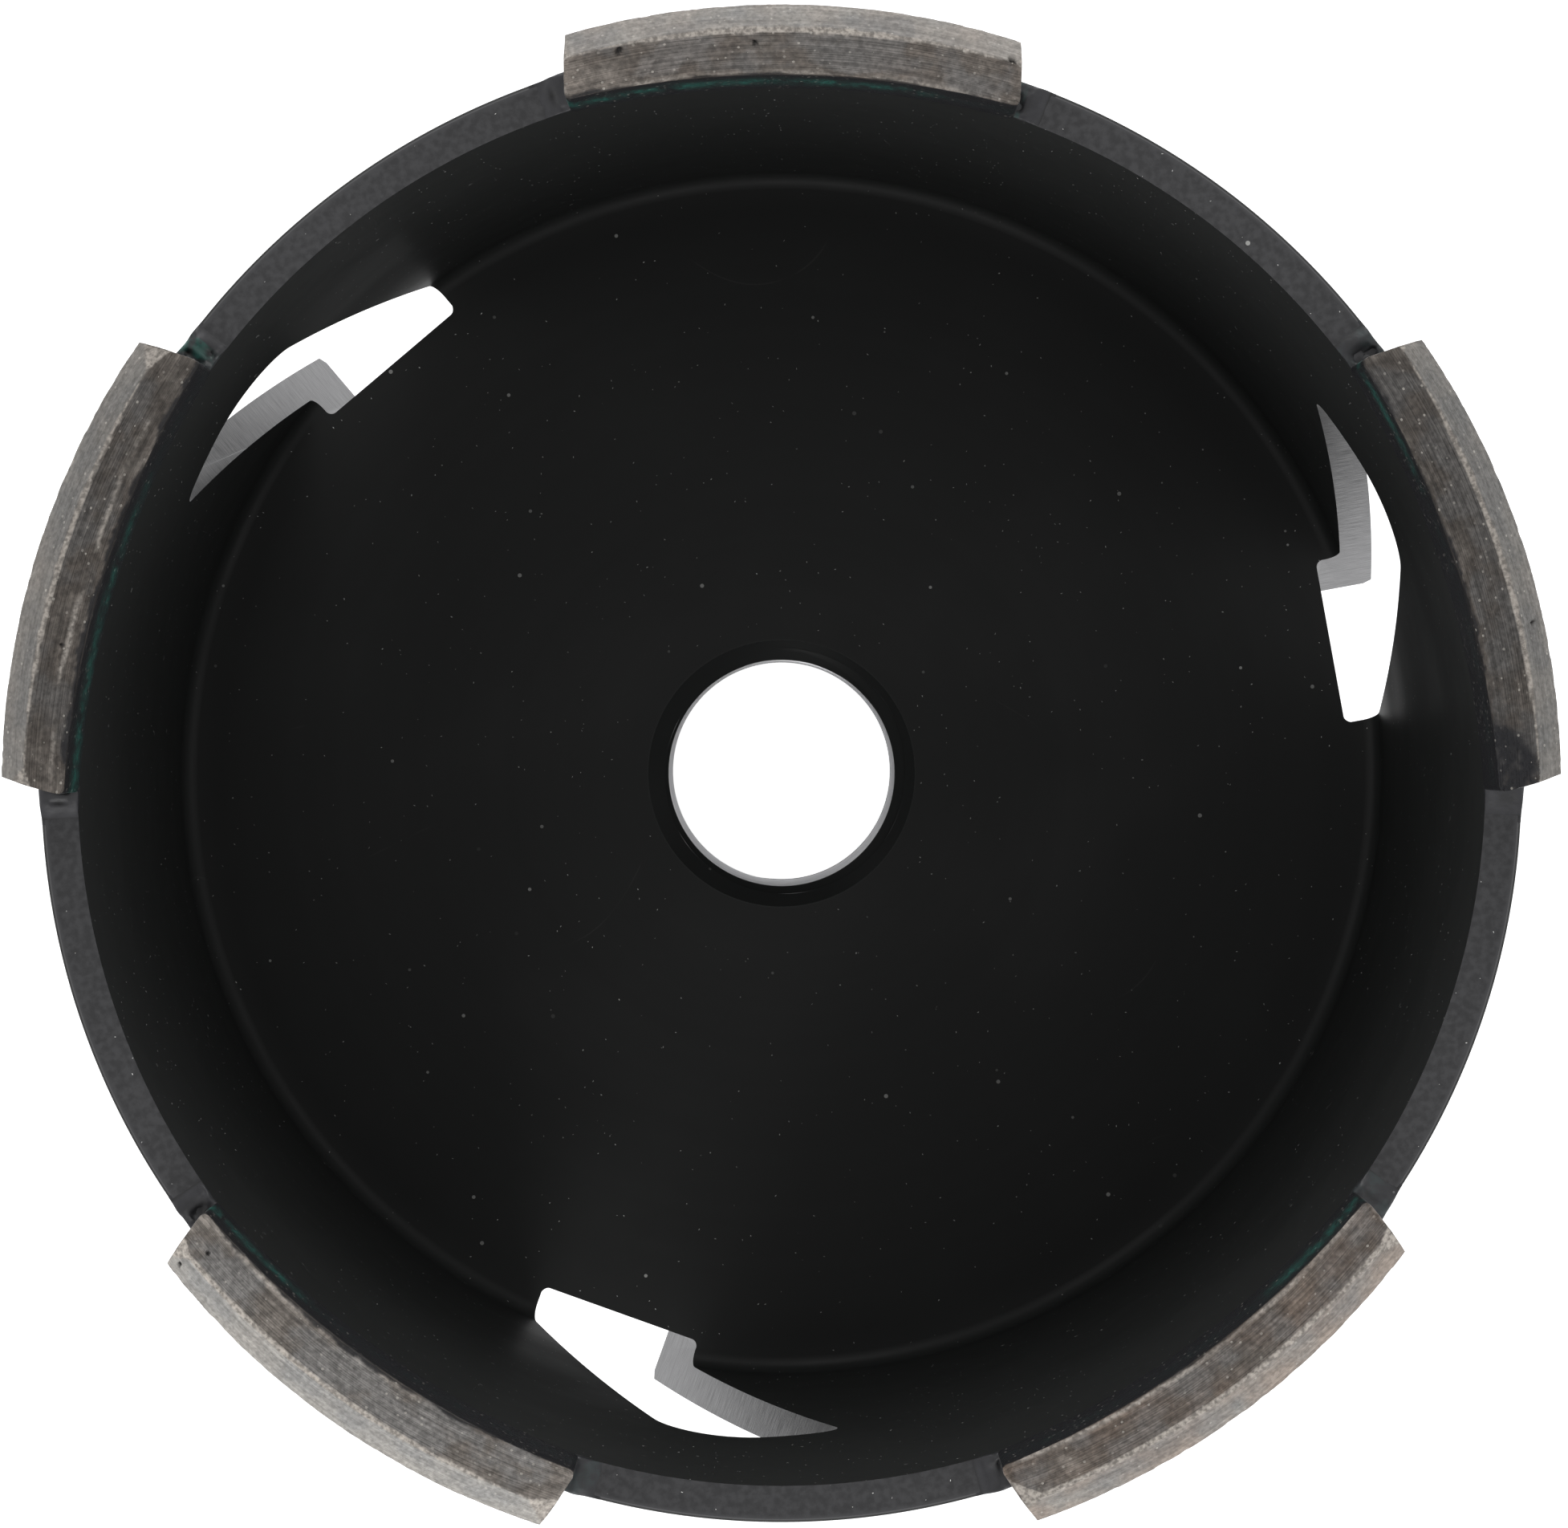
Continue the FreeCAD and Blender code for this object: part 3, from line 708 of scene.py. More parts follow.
def slot_outline(window, bottom, floor_level):
    # the leaning slot seen from outside, as (sideways, level) points
    half = window.width / 2 / math.cos(window.lean)
    drift = (bottom - floor_level) * math.tan(window.lean)
    reach = window.width / 2 / math.cos(window.end_slope)
    slope = window.lean + window.end_slope
    end = Vector((window.shift + window.rise * math.sin(window.lean),
                  floor_level + window.rise * math.cos(window.lean)))
    step = Vector((math.cos(slope), -math.sin(slope))) * reach
    left = Vector((window.shift - half + drift, bottom))
    right = Vector((window.shift + half + drift, bottom))
    tail = end + step
    lead = end - step
    outline = [left, right]
    outline += rounded(right, tail, lead, window.tail_radius)
    outline += rounded(tail, lead, left, window.lead_radius, 14)
    return outline


def slot_cutter(name, outline, near, far, corner_radius):
    # the outline drawn out along +X from near to far, rounded round its near end
    count = len(outline)
    vertices = [(x, p.x, p.y) for x in (near, far) for p in outline]
    faces = [tuple(range(count)), tuple(range(2 * count - 1, count - 1, -1))]
    faces += [(i, (i + 1) % count, count + (i + 1) % count, count + i) for i in range(count)]
    cutter = add_piece(name, vertices, faces)
    weld_and_face_outwards(cutter)

    def round_near_end(grid):
        rim = [edge for edge in grid.edges if all(abs(v.co.x - near) < 1e-6 for v in edge.verts)]
        bmesh.ops.bevel(grid, geom=rim, offset=corner_radius, segments=5, profile=0.5, affect="EDGES")

    edit_mesh(cutter, round_near_end)
    return cutter


def geometry_tree(name, inputs):
    # a Geometry Nodes tree with a mesh in and out, and its other inputs as name: kind
    tree = bpy.data.node_groups.new(name, "GeometryNodeTree")
    for socket, kind in {"Geometry": "Geometry", **inputs}.items():
        add_socket(tree, socket, kind)
    add_socket(tree, "Geometry", "Geometry", "OUTPUT")
    return tree, add_node(tree, "NodeGroupInput").outputs


def realized(tree, copies, material):
    # the tree's end: real copies with their material
    solid = add_node(tree, "GeometryNodeRealizeInstances", {"Geometry": copies})
    inputs = {"Geometry": solid.outputs[0], "Material": material}
    finish = add_node(tree, "GeometryNodeSetMaterial", inputs)
    return put_out(tree, {"Geometry": finish.outputs[0]})


def build_round_pattern(name):
    # copies of the mesh, evenly round Z
    tree, given = geometry_tree(name, {"Count": "Int", "Material": "Material"})
    points = add_node(tree, "GeometryNodePoints", {"Count": given["Count"]})
    number = add_node(tree, "GeometryNodeInputIndex")
    pitch = calc(tree, "DIVIDE", 2 * math.pi, given["Count"])
    turn = calc(tree, "MULTIPLY", pitch, number.outputs[0])
    spin = join_place(tree, z=turn)
    inputs = {"Points": points.outputs[0], "Instance": given["Geometry"], "Rotation": spin}
    copies = add_node(tree, "GeometryNodeInstanceOnPoints", inputs)
    return realized(tree, copies.outputs[0], given["Material"])


def run_nodes(piece, tree, values):
    # sets a tree's inputs by identifier, works it out and leaves a plain mesh
    modifier = piece.modifiers.new(tree.name, "NODES")
    modifier.node_group = tree
    for item in tree.interface.items_tree:
        if item.item_type == "SOCKET" and item.in_out == "INPUT" and item.name in values:
            modifier[item.identifier] = values[item.name]
    settle_modifiers(piece)


def subtract(piece, cutter):
    cut = piece.modifiers.new("cut", "BOOLEAN")
    cut.operation = "DIFFERENCE"
    cut.solver = "EXACT"
    cut.material_mode = "TRANSFER"
    cut.object = cutter
    settle_modifiers(piece)
    bpy.data.objects.remove(cutter)


def box_cutter(name, low, high):
    corners = [(x, y, z) for x in (low[0], high[0]) for y in (low[1], high[1]) for z in (low[2], high[2])]
    faces = [(0, 1, 3, 2), (4, 6, 7, 5), (0, 4, 5, 1), (2, 3, 7, 6), (0, 2, 6, 4), (1, 5, 7, 3)]
    cutter = add_piece(name, corners, faces)
    weld_and_face_outwards(cutter)
    return cutter


def milling_places(piece, window, floor_level):
    # a UV map on the cut faces: along is outwards from the axis, across runs round the slot
    mesh = piece.data
    points = read_vertices(mesh)
    turn = np.arctan2(points[:, 1], points[:, 0])
    pitch = 2 * math.pi / window.count
    drift = (points[:, 2] - floor_level) * math.tan(window.lean)
    middle = np.arctan2(window.shift + drift, MILLING_RADIUS)
    home = np.round((turn - middle) / pitch) * pitch
    outwards = points[:, 0] * np.cos(home) + points[:, 1] * np.sin(home)
    sideways = points[:, 1] * np.cos(home) - points[:, 0] * np.sin(home)
    write_uv(mesh, "milling", outwards, points[:, 2] + 0.4 * sideways)


class CORE_BIT_OT_cup_body(bpy.types.Operator):
    """Turns the cup with its hub and floor, mills its windows and flats, and paints it black"""
    bl_idname = "core_bit.cup_body"
    bl_label = "Cup body"

    def execute(self, context):
        settings = context.scene.core_bit
        cup = settings.cup
        window = settings.window
        piece = turned("dressed_cup_body", cup_profile(cup), cup.steps)
        black = material_once("worn_black_and_painted_light", black_finish, cup)
        steel = material_once("milled_steel", cut_steel, window)
        piece.data.materials.append(black)
        for side, name in ((1, "far_flat"), (-1, "near_flat")):
            edge = side * cup.flats_half_width
            past = side * (cup.hub_radius + CUT_PAST)
            low = (-CUTTER_NEAR, min(edge, past), -CUT_PAST)
            high = (CUTTER_NEAR, max(edge, past), cup.flats_height)
            cutter = box_cutter(name, low, high)
            cutter.data.materials.append(black)
            subtract(piece, cutter)
        pattern = build_round_pattern("windows_round_cup")
        notch_depth = cup.radius - window.notch_depth
        cuts = (("notches", cup.base_level - CUT_PAST, notch_depth),
                ("wall_windows", cup.floor_level + cup.floor_fillet, CUTTER_NEAR))
        for name, bottom, near in cuts:
            outline = slot_outline(window, bottom, cup.floor_level)
            cutter = slot_cutter(name, outline, near, CUTTER_FAR, window.notch_corner)
            run_nodes(cutter, pattern, {"Count": window.count, "Material": steel})
            subtract(piece, cutter)
        if not piece.data.polygons:
            raise RuntimeError("the cup body came out empty")
        smooth_by_angle(piece, 24)
        milling_places(piece, window, cup.floor_level)
        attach(piece, "root")
        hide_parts("cup_body")
        return {"FINISHED"}


# Arbor thread

# the thread's form, in pitches from the middle of its root: an eighth is root and a quarter is crest
ROOT_HALF = 0.0625
CREST_START = 0.375
# how far the paint ran from each mouth into the first turn
PAINT_REACH = 1.1 * MM
JOIN_DISTANCE = 1e-6


def build_thread_tree(name):
    # A sleeve with the thread inside: a grid whose radius follows the helix, cut back by both countersinks.
    lengths = ("Height", "Pitch", "Crest radius", "Root radius", "Mouth radius")
    counts = {"Steps": "Int", "Rows": "Int"}
    materials = {"Steel": "Material", "Paint": "Material"}
    tree, given = geometry_tree(name, {**dict.fromkeys(lengths, "Float"), **counts, **materials})
    height, pitch, crest, root, mouth = (given[socket] for socket in lengths)
    columns = calc(tree, "ADD", given["Steps"], 1.0)
    rows = calc(tree, "ADD", given["Rows"], 1.0)

    def sheet(across):
        inputs = {"Size X": 1.0, "Size Y": 1.0, "Vertices X": columns, "Vertices Y": across}
        return add_node(tree, "GeometryNodeMeshGrid", inputs).outputs["Mesh"]

    def coat(mesh, material, selection=True):
        inputs = {"Geometry": mesh, "Selection": selection, "Material": material}
        return add_node(tree, "GeometryNodeSetMaterial", inputs).outputs[0]

    def shaped(mesh, radius):
        x = calc(tree, "MULTIPLY", cosine, radius)
        y = calc(tree, "MULTIPLY", sine, radius)
        inputs = {"Geometry": mesh, "Position": join_place(tree, x, y, level)}
        return add_node(tree, "GeometryNodeSetPosition", inputs).outputs[0]

    where = split_place(tree, add_node(tree, "GeometryNodeInputPosition").outputs[0])
    round_part = calc(tree, "ADD", where["X"], 0.5)
    high_part = calc(tree, "ADD", where["Y"], 0.5)
    turn = calc(tree, "MULTIPLY", round_part, 2 * math.pi)
    cosine = calc(tree, "COSINE", turn)
    sine = calc(tree, "SINE", turn)
    # the rows climb one pitch in a turn, and what runs past either end is pressed flat on it
    risen = calc(tree, "MULTIPLY", high_part, calc(tree, "ADD", height, pitch))
    start = calc(tree, "SUBTRACT", risen, pitch)
    climbing = calc(tree, "MULTIPLY_ADD", round_part, pitch, start)
    level = calc(tree, "MINIMUM", calc(tree, "MAXIMUM", climbing, 0.0), height)
    saw = calc(tree, "FRACT", calc(tree, "DIVIDE", risen, pitch))
    folded = calc(tree, "ABSOLUTE", calc(tree, "SUBTRACT", saw, 0.5))
    flank = ramp(tree, folded, ROOT_HALF, CREST_START, curve="LINEAR")
    threaded = calc(tree, "MULTIPLY_ADD", flank, calc(tree, "SUBTRACT", crest, root), root)
    back = calc(tree, "SUBTRACT", mouth, level)
    front = calc(tree, "ADD", mouth, calc(tree, "SUBTRACT", level, height))
    sunk = calc(tree, "MAXIMUM", back, front)
    first_turn = calc(tree, "SUBTRACT", crest, PAINT_REACH)
    painted = calc(tree, "GREATER_THAN", sunk, first_turn)
    flipped = add_node(tree, "GeometryNodeFlipFaces", {"Mesh": sheet(rows)}).outputs[0]
    coated = coat(coat(flipped, given["Steel"]), given["Paint"], painted)
    inside = shaped(coated, calc(tree, "MAXIMUM", threaded, sunk))
    hidden = coat(shaped(sheet(2), mouth), given["Paint"])
    joined = add_node(tree, "GeometryNodeJoinGeometry")
    for part in (inside, hidden):
        tree.links.new(part, joined.inputs[0])
    inputs = {"Geometry": joined.outputs[0], "Distance": JOIN_DISTANCE}
    closed = add_node(tree, "GeometryNodeMergeByDistance", inputs)
    return put_out(tree, {"Geometry": closed.outputs[0]})


class CORE_BIT_OT_arbor_thread(bpy.types.Operator):
    """Cuts the arbor thread in the bore, with its countersinks"""
    bl_idname = "core_bit.arbor_thread"
    bl_label = "Arbor thread"

    def execute(self, context):
        settings = context.scene.core_bit
        thread = settings.thread
        cup = settings.cup
        piece = add_piece("arbor_thread", [(0, 0, 0)], [])
        run_nodes(piece, build_thread_tree("thread_sleeve"), {
            "Height": cup.floor_level,
            "Pitch": thread.pitch,
            "Crest radius": thread.crest_radius,
            "Root radius": thread.root_radius,
            "Mouth radius": cup.countersink_radius,
            "Steps": thread.steps,
            "Rows": round((cup.floor_level + thread.pitch) / thread.pitch) * thread.rows,
            "Steel": material_once("bare_thread", thread_steel, thread),
            "Paint": material_once("worn_black_and_painted_light", black_finish, cup),
        })
        if not piece.data.polygons:
            raise RuntimeError("the arbor thread came out empty")
        weld_and_face_outwards(piece, JOIN_DISTANCE)
        smooth_by_angle(piece, 11)
        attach(piece, "root")
        return {"FINISHED"}


# Segments

# What each segment shows of its own. Ends: -1 is clockwise seen from the mouth, 1 anticlockwise. A facet is
# (end, length, slope along, slope sideways). A pit is (along, share across, radius, depth). A bright line is
# (share across, wander, strength, from, to). Lengths are in millimetres.
# Tone is painted light: a gain that shows each segment lighter or darker, for light that falls unevenly round
# the bit.
SEGMENT_WEAR = [
    {"tone": 0.63, "warmth": 0.1, "blunt": 1.0, "facets": [(-1, 0.4, 0.5, 0.3), (1, 0.6, 0.5, 0.5)],
     "pits": [(-3.9, 0.80, 0.13, 0.16), (-7.6, 0.20, 0.10, 0.06), (4.4, 0.55, 0.12, 0.05)],
     "painted_end": -1, "creep": 0.10, "green": (12.5, 3.0, 2.4), "green_width": 0.8, "bright_lines": []},
    {"tone": 0.95, "warmth": 0.3, "blunt": 1.0, "facets": [(-1, 0.5, 0.7, 0.3), (1, 0.6, 0.6, 0.4)],
     "pits": [(9.1, 0.50, 0.20, 0.18), (2.0, 0.40, 0.14, 0.20), (-11.5, 0.60, 0.22, 0.30)],
     "painted_end": 0, "creep": 0.02, "green": (-1.0, -9.0, 3.2), "green_width": 1.2,
     "bright_lines": [(0.02, 0.01, 0.6, -12, 12)]},
    {"tone": 0.65, "warmth": 0.2, "blunt": 0.9, "facets": [(-1, 1.7, 0.42, 0.35), (1, 1.1, 0.5, 0.35)],
     "pits": [(4.4, 0.28, 0.12, 0.16), (3.2, 0.12, 0.20, 0.10), (-7.5, 0.2, 0.2, 0.08)],
     "painted_end": 0, "creep": 0.16, "green": (12.5, -8.0, 4.2), "green_width": 1.3,
     "bright_lines": [(0.20, 0.03, 1.0, -9, 12)]},
    {"tone": 1.30, "warmth": 0.0, "blunt": 0.75, "facets": [(-1, 1.3, 0.5, 0.3), (1, 1.6, 0.45, 0.4)],
     "pits": [(-10.5, 0.35, 0.14, 0.16), (-11.4, 0.80, 0.15, 0.15), (-9.3, 0.9, 0.3, 0.10),
              (-8.0, 0.95, 0.35, 0.10)],
     "painted_end": 0, "creep": 0.12, "green": (-12.5, -3.0, 3.8), "green_width": 0.9,
     "bright_lines": [(0.05, 0.01, 0.8, -12, 4), (0.57, 0.004, 1.7, -12, 12)]},
    {"tone": 1.02, "warmth": 1.0, "blunt": 0.7, "facets": [(-1, 1.5, 0.45, -0.4), (1, 1.7, 0.35, 0.3)],
     "pits": [(-2.3, 0.35, 0.10, 0.05), (4.3, 0.85, 0.2, -0.10), (2.5, 0.8, 0.2, -0.10)],
     "painted_end": 0, "creep": -0.10, "green": (12.5, 3.0, 2.8), "green_width": 1.2,
     "bright_lines": [(0.03, 0.01, 0.9, -12, 12), (0.57, 0.004, 1.7, -12, 12)]},
]
# rows of faces across the inner and the outer slope, along, up the root and up the block
INNER_ROWS = 23
OUTER_ROWS = 15
ALONG_ROWS = 261
ROOT_ROWS = 5
BLOCK_ROWS = 17
# how far across the block the ridge lies, as a share, and the usual widths of the inner slope and the block
RIDGE_SHARE = 0.58
INNER_WIDTH = 2.1 * MM
BLOCK_WIDTH = 3.6 * MM
CORNER_ROUNDING = 0.45 * MM
# a pit deeper than this is painted black inside, as painted shade in its hollow, in millimetres
DARK_PIT_DEPTH = 0.12


def crowded(count, bend, start=-1):
    # places up to 1 that crowd towards the ends
    last = math.pi / 2 * bend
    return np.sin(np.linspace(start, 1, count) * last) / math.sin(last)


def segment_lattice(segment, cup):
    # Points and faces of a segment at angle zero. Each point has a place across (0 is the inner face, 1 the
    # outer), along and up. The six sides of the block share their edges.
    outer = segment.outer_radius
    arc_centre = outer - segment.thickness - segment.inner_arc_radius
    ridge = outer - segment.outer_slope_width
    fall_out = segment.outer_slope_drop / segment.outer_slope_width
    fall_in = segment.inner_slope_drop / (segment.thickness - segment.outer_slope_width)
    roof_radius = ridge - arc_centre

    def roof(x, y):
        from_axis = np.hypot(x, y)
        from_arc = np.hypot(x - arc_centre, y)
        out = segment.height - np.maximum(from_axis - ridge, 0) * fall_out
        into = segment.height - np.maximum(roof_radius - from_arc, 0) * fall_in
        return np.minimum(out, into)

    def span(y, in_root):
        # inner and outer face of the block, or of its root
        low_radius = segment.inner_arc_radius
        high_radius = outer
        if in_root:
            low_radius = cup.radius - cup.wall - segment.root_overhang - arc_centre
            high_radius = cup.radius + segment.root_overhang
        low = arc_centre + np.sqrt(low_radius ** 2 - y ** 2)
        high = np.sqrt(high_radius ** 2 - y ** 2)
        return low, high

    def ridge_place(y):
        low = arc_centre + np.sqrt(segment.inner_arc_radius ** 2 - y ** 2)
        high = np.sqrt(outer ** 2 - y ** 2)
        for _ in range(40):
            middle = (low + high) / 2
            from_axis = segment.height - (np.hypot(middle, y) - ridge) * fall_out
            from_arc = segment.height - (roof_radius - np.hypot(middle - arc_centre, y)) * fall_in
            rising = from_arc < from_axis
            low = np.where(rising, middle, low)
            high = np.where(rising, high, middle)
        return (low + high) / 2

    inner_steps = np.linspace(0, RIDGE_SHARE, INNER_ROWS)
    outer_steps = RIDGE_SHARE + (1 - RIDGE_SHARE) * np.linspace(0, 1, OUTER_ROWS) ** 1.2
    across = np.concatenate([inner_steps, outer_steps[1:]])
    along = crowded(ALONG_ROWS, 0.86)
    root_top = segment.root_height - 0.15 * MM
    levels = [("root", z) for z in np.linspace(0, root_top, ROOT_ROWS)]
    levels += [("block", z) for z in crowded(BLOCK_ROWS, 0.9, 0)]

    def place(a, b, level):
        y = b * segment.half_length
        kind, up = level
        low, high = span(y, kind == "root")
        if kind == "root":
            return low + (high - low) * a, y, up + 0 * y
        ridge_x = ridge_place(y)
        inside = low + (ridge_x - low) * a / RIDGE_SHARE
        outside = ridge_x + (high - ridge_x) * (a - RIDGE_SHARE) / (1 - RIDGE_SHARE)
        x = np.where(a < RIDGE_SHARE, inside, outside)
        top = roof(x, y)
        return x, y, segment.root_height + (top - segment.root_height) * up

    vertices = []
    faces = []

    a, b = np.meshgrid(across, along, indexing="ij")
    block = np.stack([np.stack(place(a, b, level), axis=-1) for level in levels])
    for side in (block[-1], block[0], block[:, 0], block[:, -1], block[:, :, 0], block[:, :, -1]):
        rows, columns = side.shape[:2]
        start = len(vertices)
        vertices.extend(side.reshape(-1, 3))
        for row in range(rows - 1):
            for column in range(columns - 1):
                corner = start + row * columns + column
                faces.append((corner, corner + 1, corner + columns + 1, corner + columns))
    return vertices, faces, roof, ridge_place


class Block:
    # a segment's points, which its wear moves, and where each of them lay before
    def __init__(self, mesh, segment, seed, roof, ridge_place):
        self.points = read_vertices(mesh)
        self.normals = read_vertices(mesh, "normal")
        self.segment = segment
        self.seed = seed
        x, y, z = self.points.T.copy()
        self.x, self.y, self.z = x, y, z
        self.top = roof(x, y)
        self.under_top = self.top - z
        self.on_top = ease(z, self.top - 0.3 * MM, self.top - 0.02 * MM)
        self.ridge_x = ridge_place(y)
        self.near_end = segment.half_length - np.abs(y)
        self.from_inside = np.hypot(x, y) - (segment.outer_radius - segment.thickness)
        outer_gap = segment.outer_radius - np.hypot(x, y)
        self.edge = np.minimum.reduce([
            self.near_end + self.under_top,
            outer_gap + self.under_top,
            self.near_end + np.abs(outer_gap),
            self.from_inside * 1.5 + self.under_top,
        ])
        inside = RIDGE_SHARE * (x - self.ridge_x + INNER_WIDTH) / INNER_WIDTH
        outside = RIDGE_SHARE + (1 - RIDGE_SHARE) * (x - self.ridge_x) / segment.outer_slope_width
        self.across = np.where(x < self.ridge_x, inside, outside)

    def cloud(self, cell, offset):
        return cloud(self.points, cell * MM, self.seed + offset)

    def rough(self, cell, offset, stretch=1):
        return rough(self.points * stretch, cell * MM, self.seed + offset)

    def rough_along(self, cell, offset, layers=3):
        return rough(np.column_stack([self.y, self.y * 0, self.y * 0]), cell * MM, self.seed + offset, layers)


def break_ridge(block, wear):
    # wears the ridge down to an uneven sandy line and cuts facets at its ends
    segment = block.segment
    blunting = segment.ridge_blunting * wear["blunt"] * (1.0 + 0.2 * block.rough_along(0.6, 0))
    limit = segment.height - blunting + 0.02 * MM * block.cloud(0.25, 5)
    for end, reach, along_slope, side_slope in wear["facets"]:
        from_start = end * block.y - (segment.half_length - reach * MM)
        facet = segment.height - 0.05 * MM - along_slope * from_start - side_slope * (block.x - block.ridge_x)
        facet += 0.05 * MM * block.cloud(0.4, 11)
        limit = np.minimum(limit, np.where(from_start > -1.5 * MM, facet, limit))
    above = (block.z > limit) & (block.z > segment.root_height)
    block.points[:, 2] = np.where(above, limit, block.z)
    return ease(block.top - limit, 0, 0.05 * MM) * block.on_top


def rub_edges(block):
    # rubs the upright inner corners round, and tells how deep the sharp edges are chipped
    segment = block.segment
    ragged = block.rough(0.7, 21)
    arc_centre = segment.outer_radius - segment.thickness - segment.inner_arc_radius
    near_face = block.x - arc_centre - np.sqrt(segment.inner_arc_radius ** 2 - block.y ** 2)
    from_end = np.maximum(CORNER_ROUNDING - block.near_end, 0)
    from_face = np.maximum(CORNER_ROUNDING - near_face, 0)
    both = (from_end > 0) & (from_face > 0)
    reach = np.maximum(np.hypot(from_end, from_face), 1e-9)
    inwards = np.where(both, 1 - np.maximum(from_end, from_face) / reach, 0)
    block.points[:, 0] += from_face * inwards
    block.points[:, 1] -= np.sign(block.y) * from_end * inwards
    return ease(0.35 * MM - block.edge, 0, 0.35 * MM) * (0.025 + 0.05 * np.maximum(ragged, 0)) * MM


def pit_slopes(block, wear, broken):
    # how far pits, small raised grains and bright lines move each point, where deep pits get painted shade,
    # and where fresh grit shows
    shift = np.zeros(len(block.x))
    pit_shade = np.zeros(len(block.x))
    wobble = 1.1 + 0.3 * block.cloud(0.15, 7)
    for pit_along, pit_across, radius, depth in wear["pits"]:
        gap_along = block.y - pit_along * MM
        gap_across = (block.across - pit_across) * BLOCK_WIDTH
        gap = np.hypot(gap_along, gap_across) / (radius * MM) * wobble
        hollow = block.on_top * np.exp(-gap ** 4)
        shift -= depth * MM * hollow
        if depth > DARK_PIT_DEPTH:
            pit_shade = np.maximum(pit_shade, ease(hollow, 0.25, 0.75))
    for place_across, wander, strength, from_y, to_y in wear["bright_lines"]:
        run = place_across + wander * block.rough_along(3.0, 51, 4)
        fade_in = ease(block.y, from_y * MM, (from_y + 1.5) * MM)
        fade_out = ease(-block.y, -to_y * MM, (1.5 - to_y) * MM)
        patchy = np.clip(0.5 + 0.8 * block.rough_along(2.5, 61), 0, 1)
        shown = fade_in * fade_out * patchy * strength
        close = np.exp(-((block.across - run) * BLOCK_WIDTH / (0.10 * MM)) ** 2) * shown * block.on_top
        shift += 0.04 * MM * close
        broken = np.maximum(broken, close)
    return shift, pit_shade, broken


def coat_segment(block, wear):
    # where paint ran over the inner foot and crept onto the slope, and where the teal line shows in it
    uneven = 0.5 * MM * block.rough(1.3, 71)
    inner_face = ease(block.under_top, 0.02 * MM, 0.10 * MM) * ease(0.9 * MM - block.from_inside, 0, 0.3 * MM)
    painted = ease(block.under_top + 0.1 * uneven, 0.05 * MM, 0.5 * MM) * inner_face
    if wear["painted_end"]:
        climb = (wear["painted_end"] * block.y - 6.3 * MM) * 0.62
        fine = 0.25 * MM * block.cloud(0.35, 73)
        from_foot = np.maximum(block.x - (block.ridge_x - INNER_WIDTH), 0)
        reach = ease(climb + uneven * 1.3 + fine - from_foot, -0.3 * MM, 1.3 * MM)
        speckled = np.clip(1.05 + 0.35 * block.rough(0.35, 75), 0, 1)
        painted = np.maximum(painted, reach * (block.x < block.ridge_x) * speckled)
    creep = wear["creep"] + 0.22 * block.rough(1.6, 91) + 0.10 * block.cloud(0.3, 95)
    up_slope = block.across * INNER_WIDTH / RIDGE_SHARE
    on_inner_slope = (block.across < RIDGE_SHARE) * block.on_top
    onto_slope = ease(creep * MM - up_slope, -0.06 * MM, 0.10 * MM) * on_inner_slope
    root = ease(block.segment.root_height + 0.5 * MM - block.z, 0, 0.6 * MM)
    painted = np.maximum.reduce([painted, onto_slope * 0.92, root * 0.8])
    start, fade, depth_below = wear["green"]
    way = np.sign(start - fade)
    run = ease(block.y * way, fade * MM * way, (fade + start) / 2 * MM * way)
    band = np.exp(-((block.under_top - depth_below * MM + 0.3 * uneven) / (wear["green_width"] * MM)) ** 2)
    patchy = np.clip(0.62 + 0.75 * block.rough(0.5, 81, [1, 1, 0.35]), 0, 1.25)
    return painted, band * inner_face * (0.07 + 0.93 * run) * patchy


def wear_segment(piece, segment, wear, seed, roof, ridge_place):
    # moves the points as the wear did, and writes the masks and the grinding direction for the material
    mesh = piece.data
    block = Block(mesh, segment, seed, roof, ridge_place)
    broken = break_ridge(block, wear)
    bite = rub_edges(block)
    grain = (0.010 * block.cloud(0.22, 31) + 0.012 * block.cloud(0.9, 41)) * MM
    above_root = ease(block.z, segment.root_height - 0.2 * MM, segment.root_height + 0.2 * MM)
    shift, pit_shade, broken = pit_slopes(block, wear, broken)
    shift += (grain - bite) * (0.3 + 0.7 * above_root)
    write_points(mesh, block.points + block.normals * shift[:, None])
    painted, greened = coat_segment(block, wear)
    masks = {
        "broken": np.maximum(broken, ease(bite, 0.03 * MM, 0.09 * MM) * 0.7),
        "pit_shade": pit_shade,
        "painted": painted,
        "greened": greened,
        "outer_side": ease(block.x - block.ridge_x, -0.1 * MM, 0.1 * MM),
        "edge": ease(0.7 * MM - block.edge, 0, 0.7 * MM),
        # painted light: each segment's tone, lighter or darker for light that falls unevenly round the bit
        "painted_light_gain": np.full(len(block.x), wear["tone"]),
        "warmth": wear["warmth"] * np.clip(0.7 + 0.6 * block.rough(1.5, 85), 0, 1.3),
    }
    for name, values in masks.items():
        write_mask(mesh, name, values)
    from_axis = np.hypot(block.x, block.y)
    outer_lines = from_axis - block.z + 2 * segment.height
    write_uv(mesh, "grinding", block.y, np.where(block.x > block.ridge_x, outer_lines, from_axis + block.z))


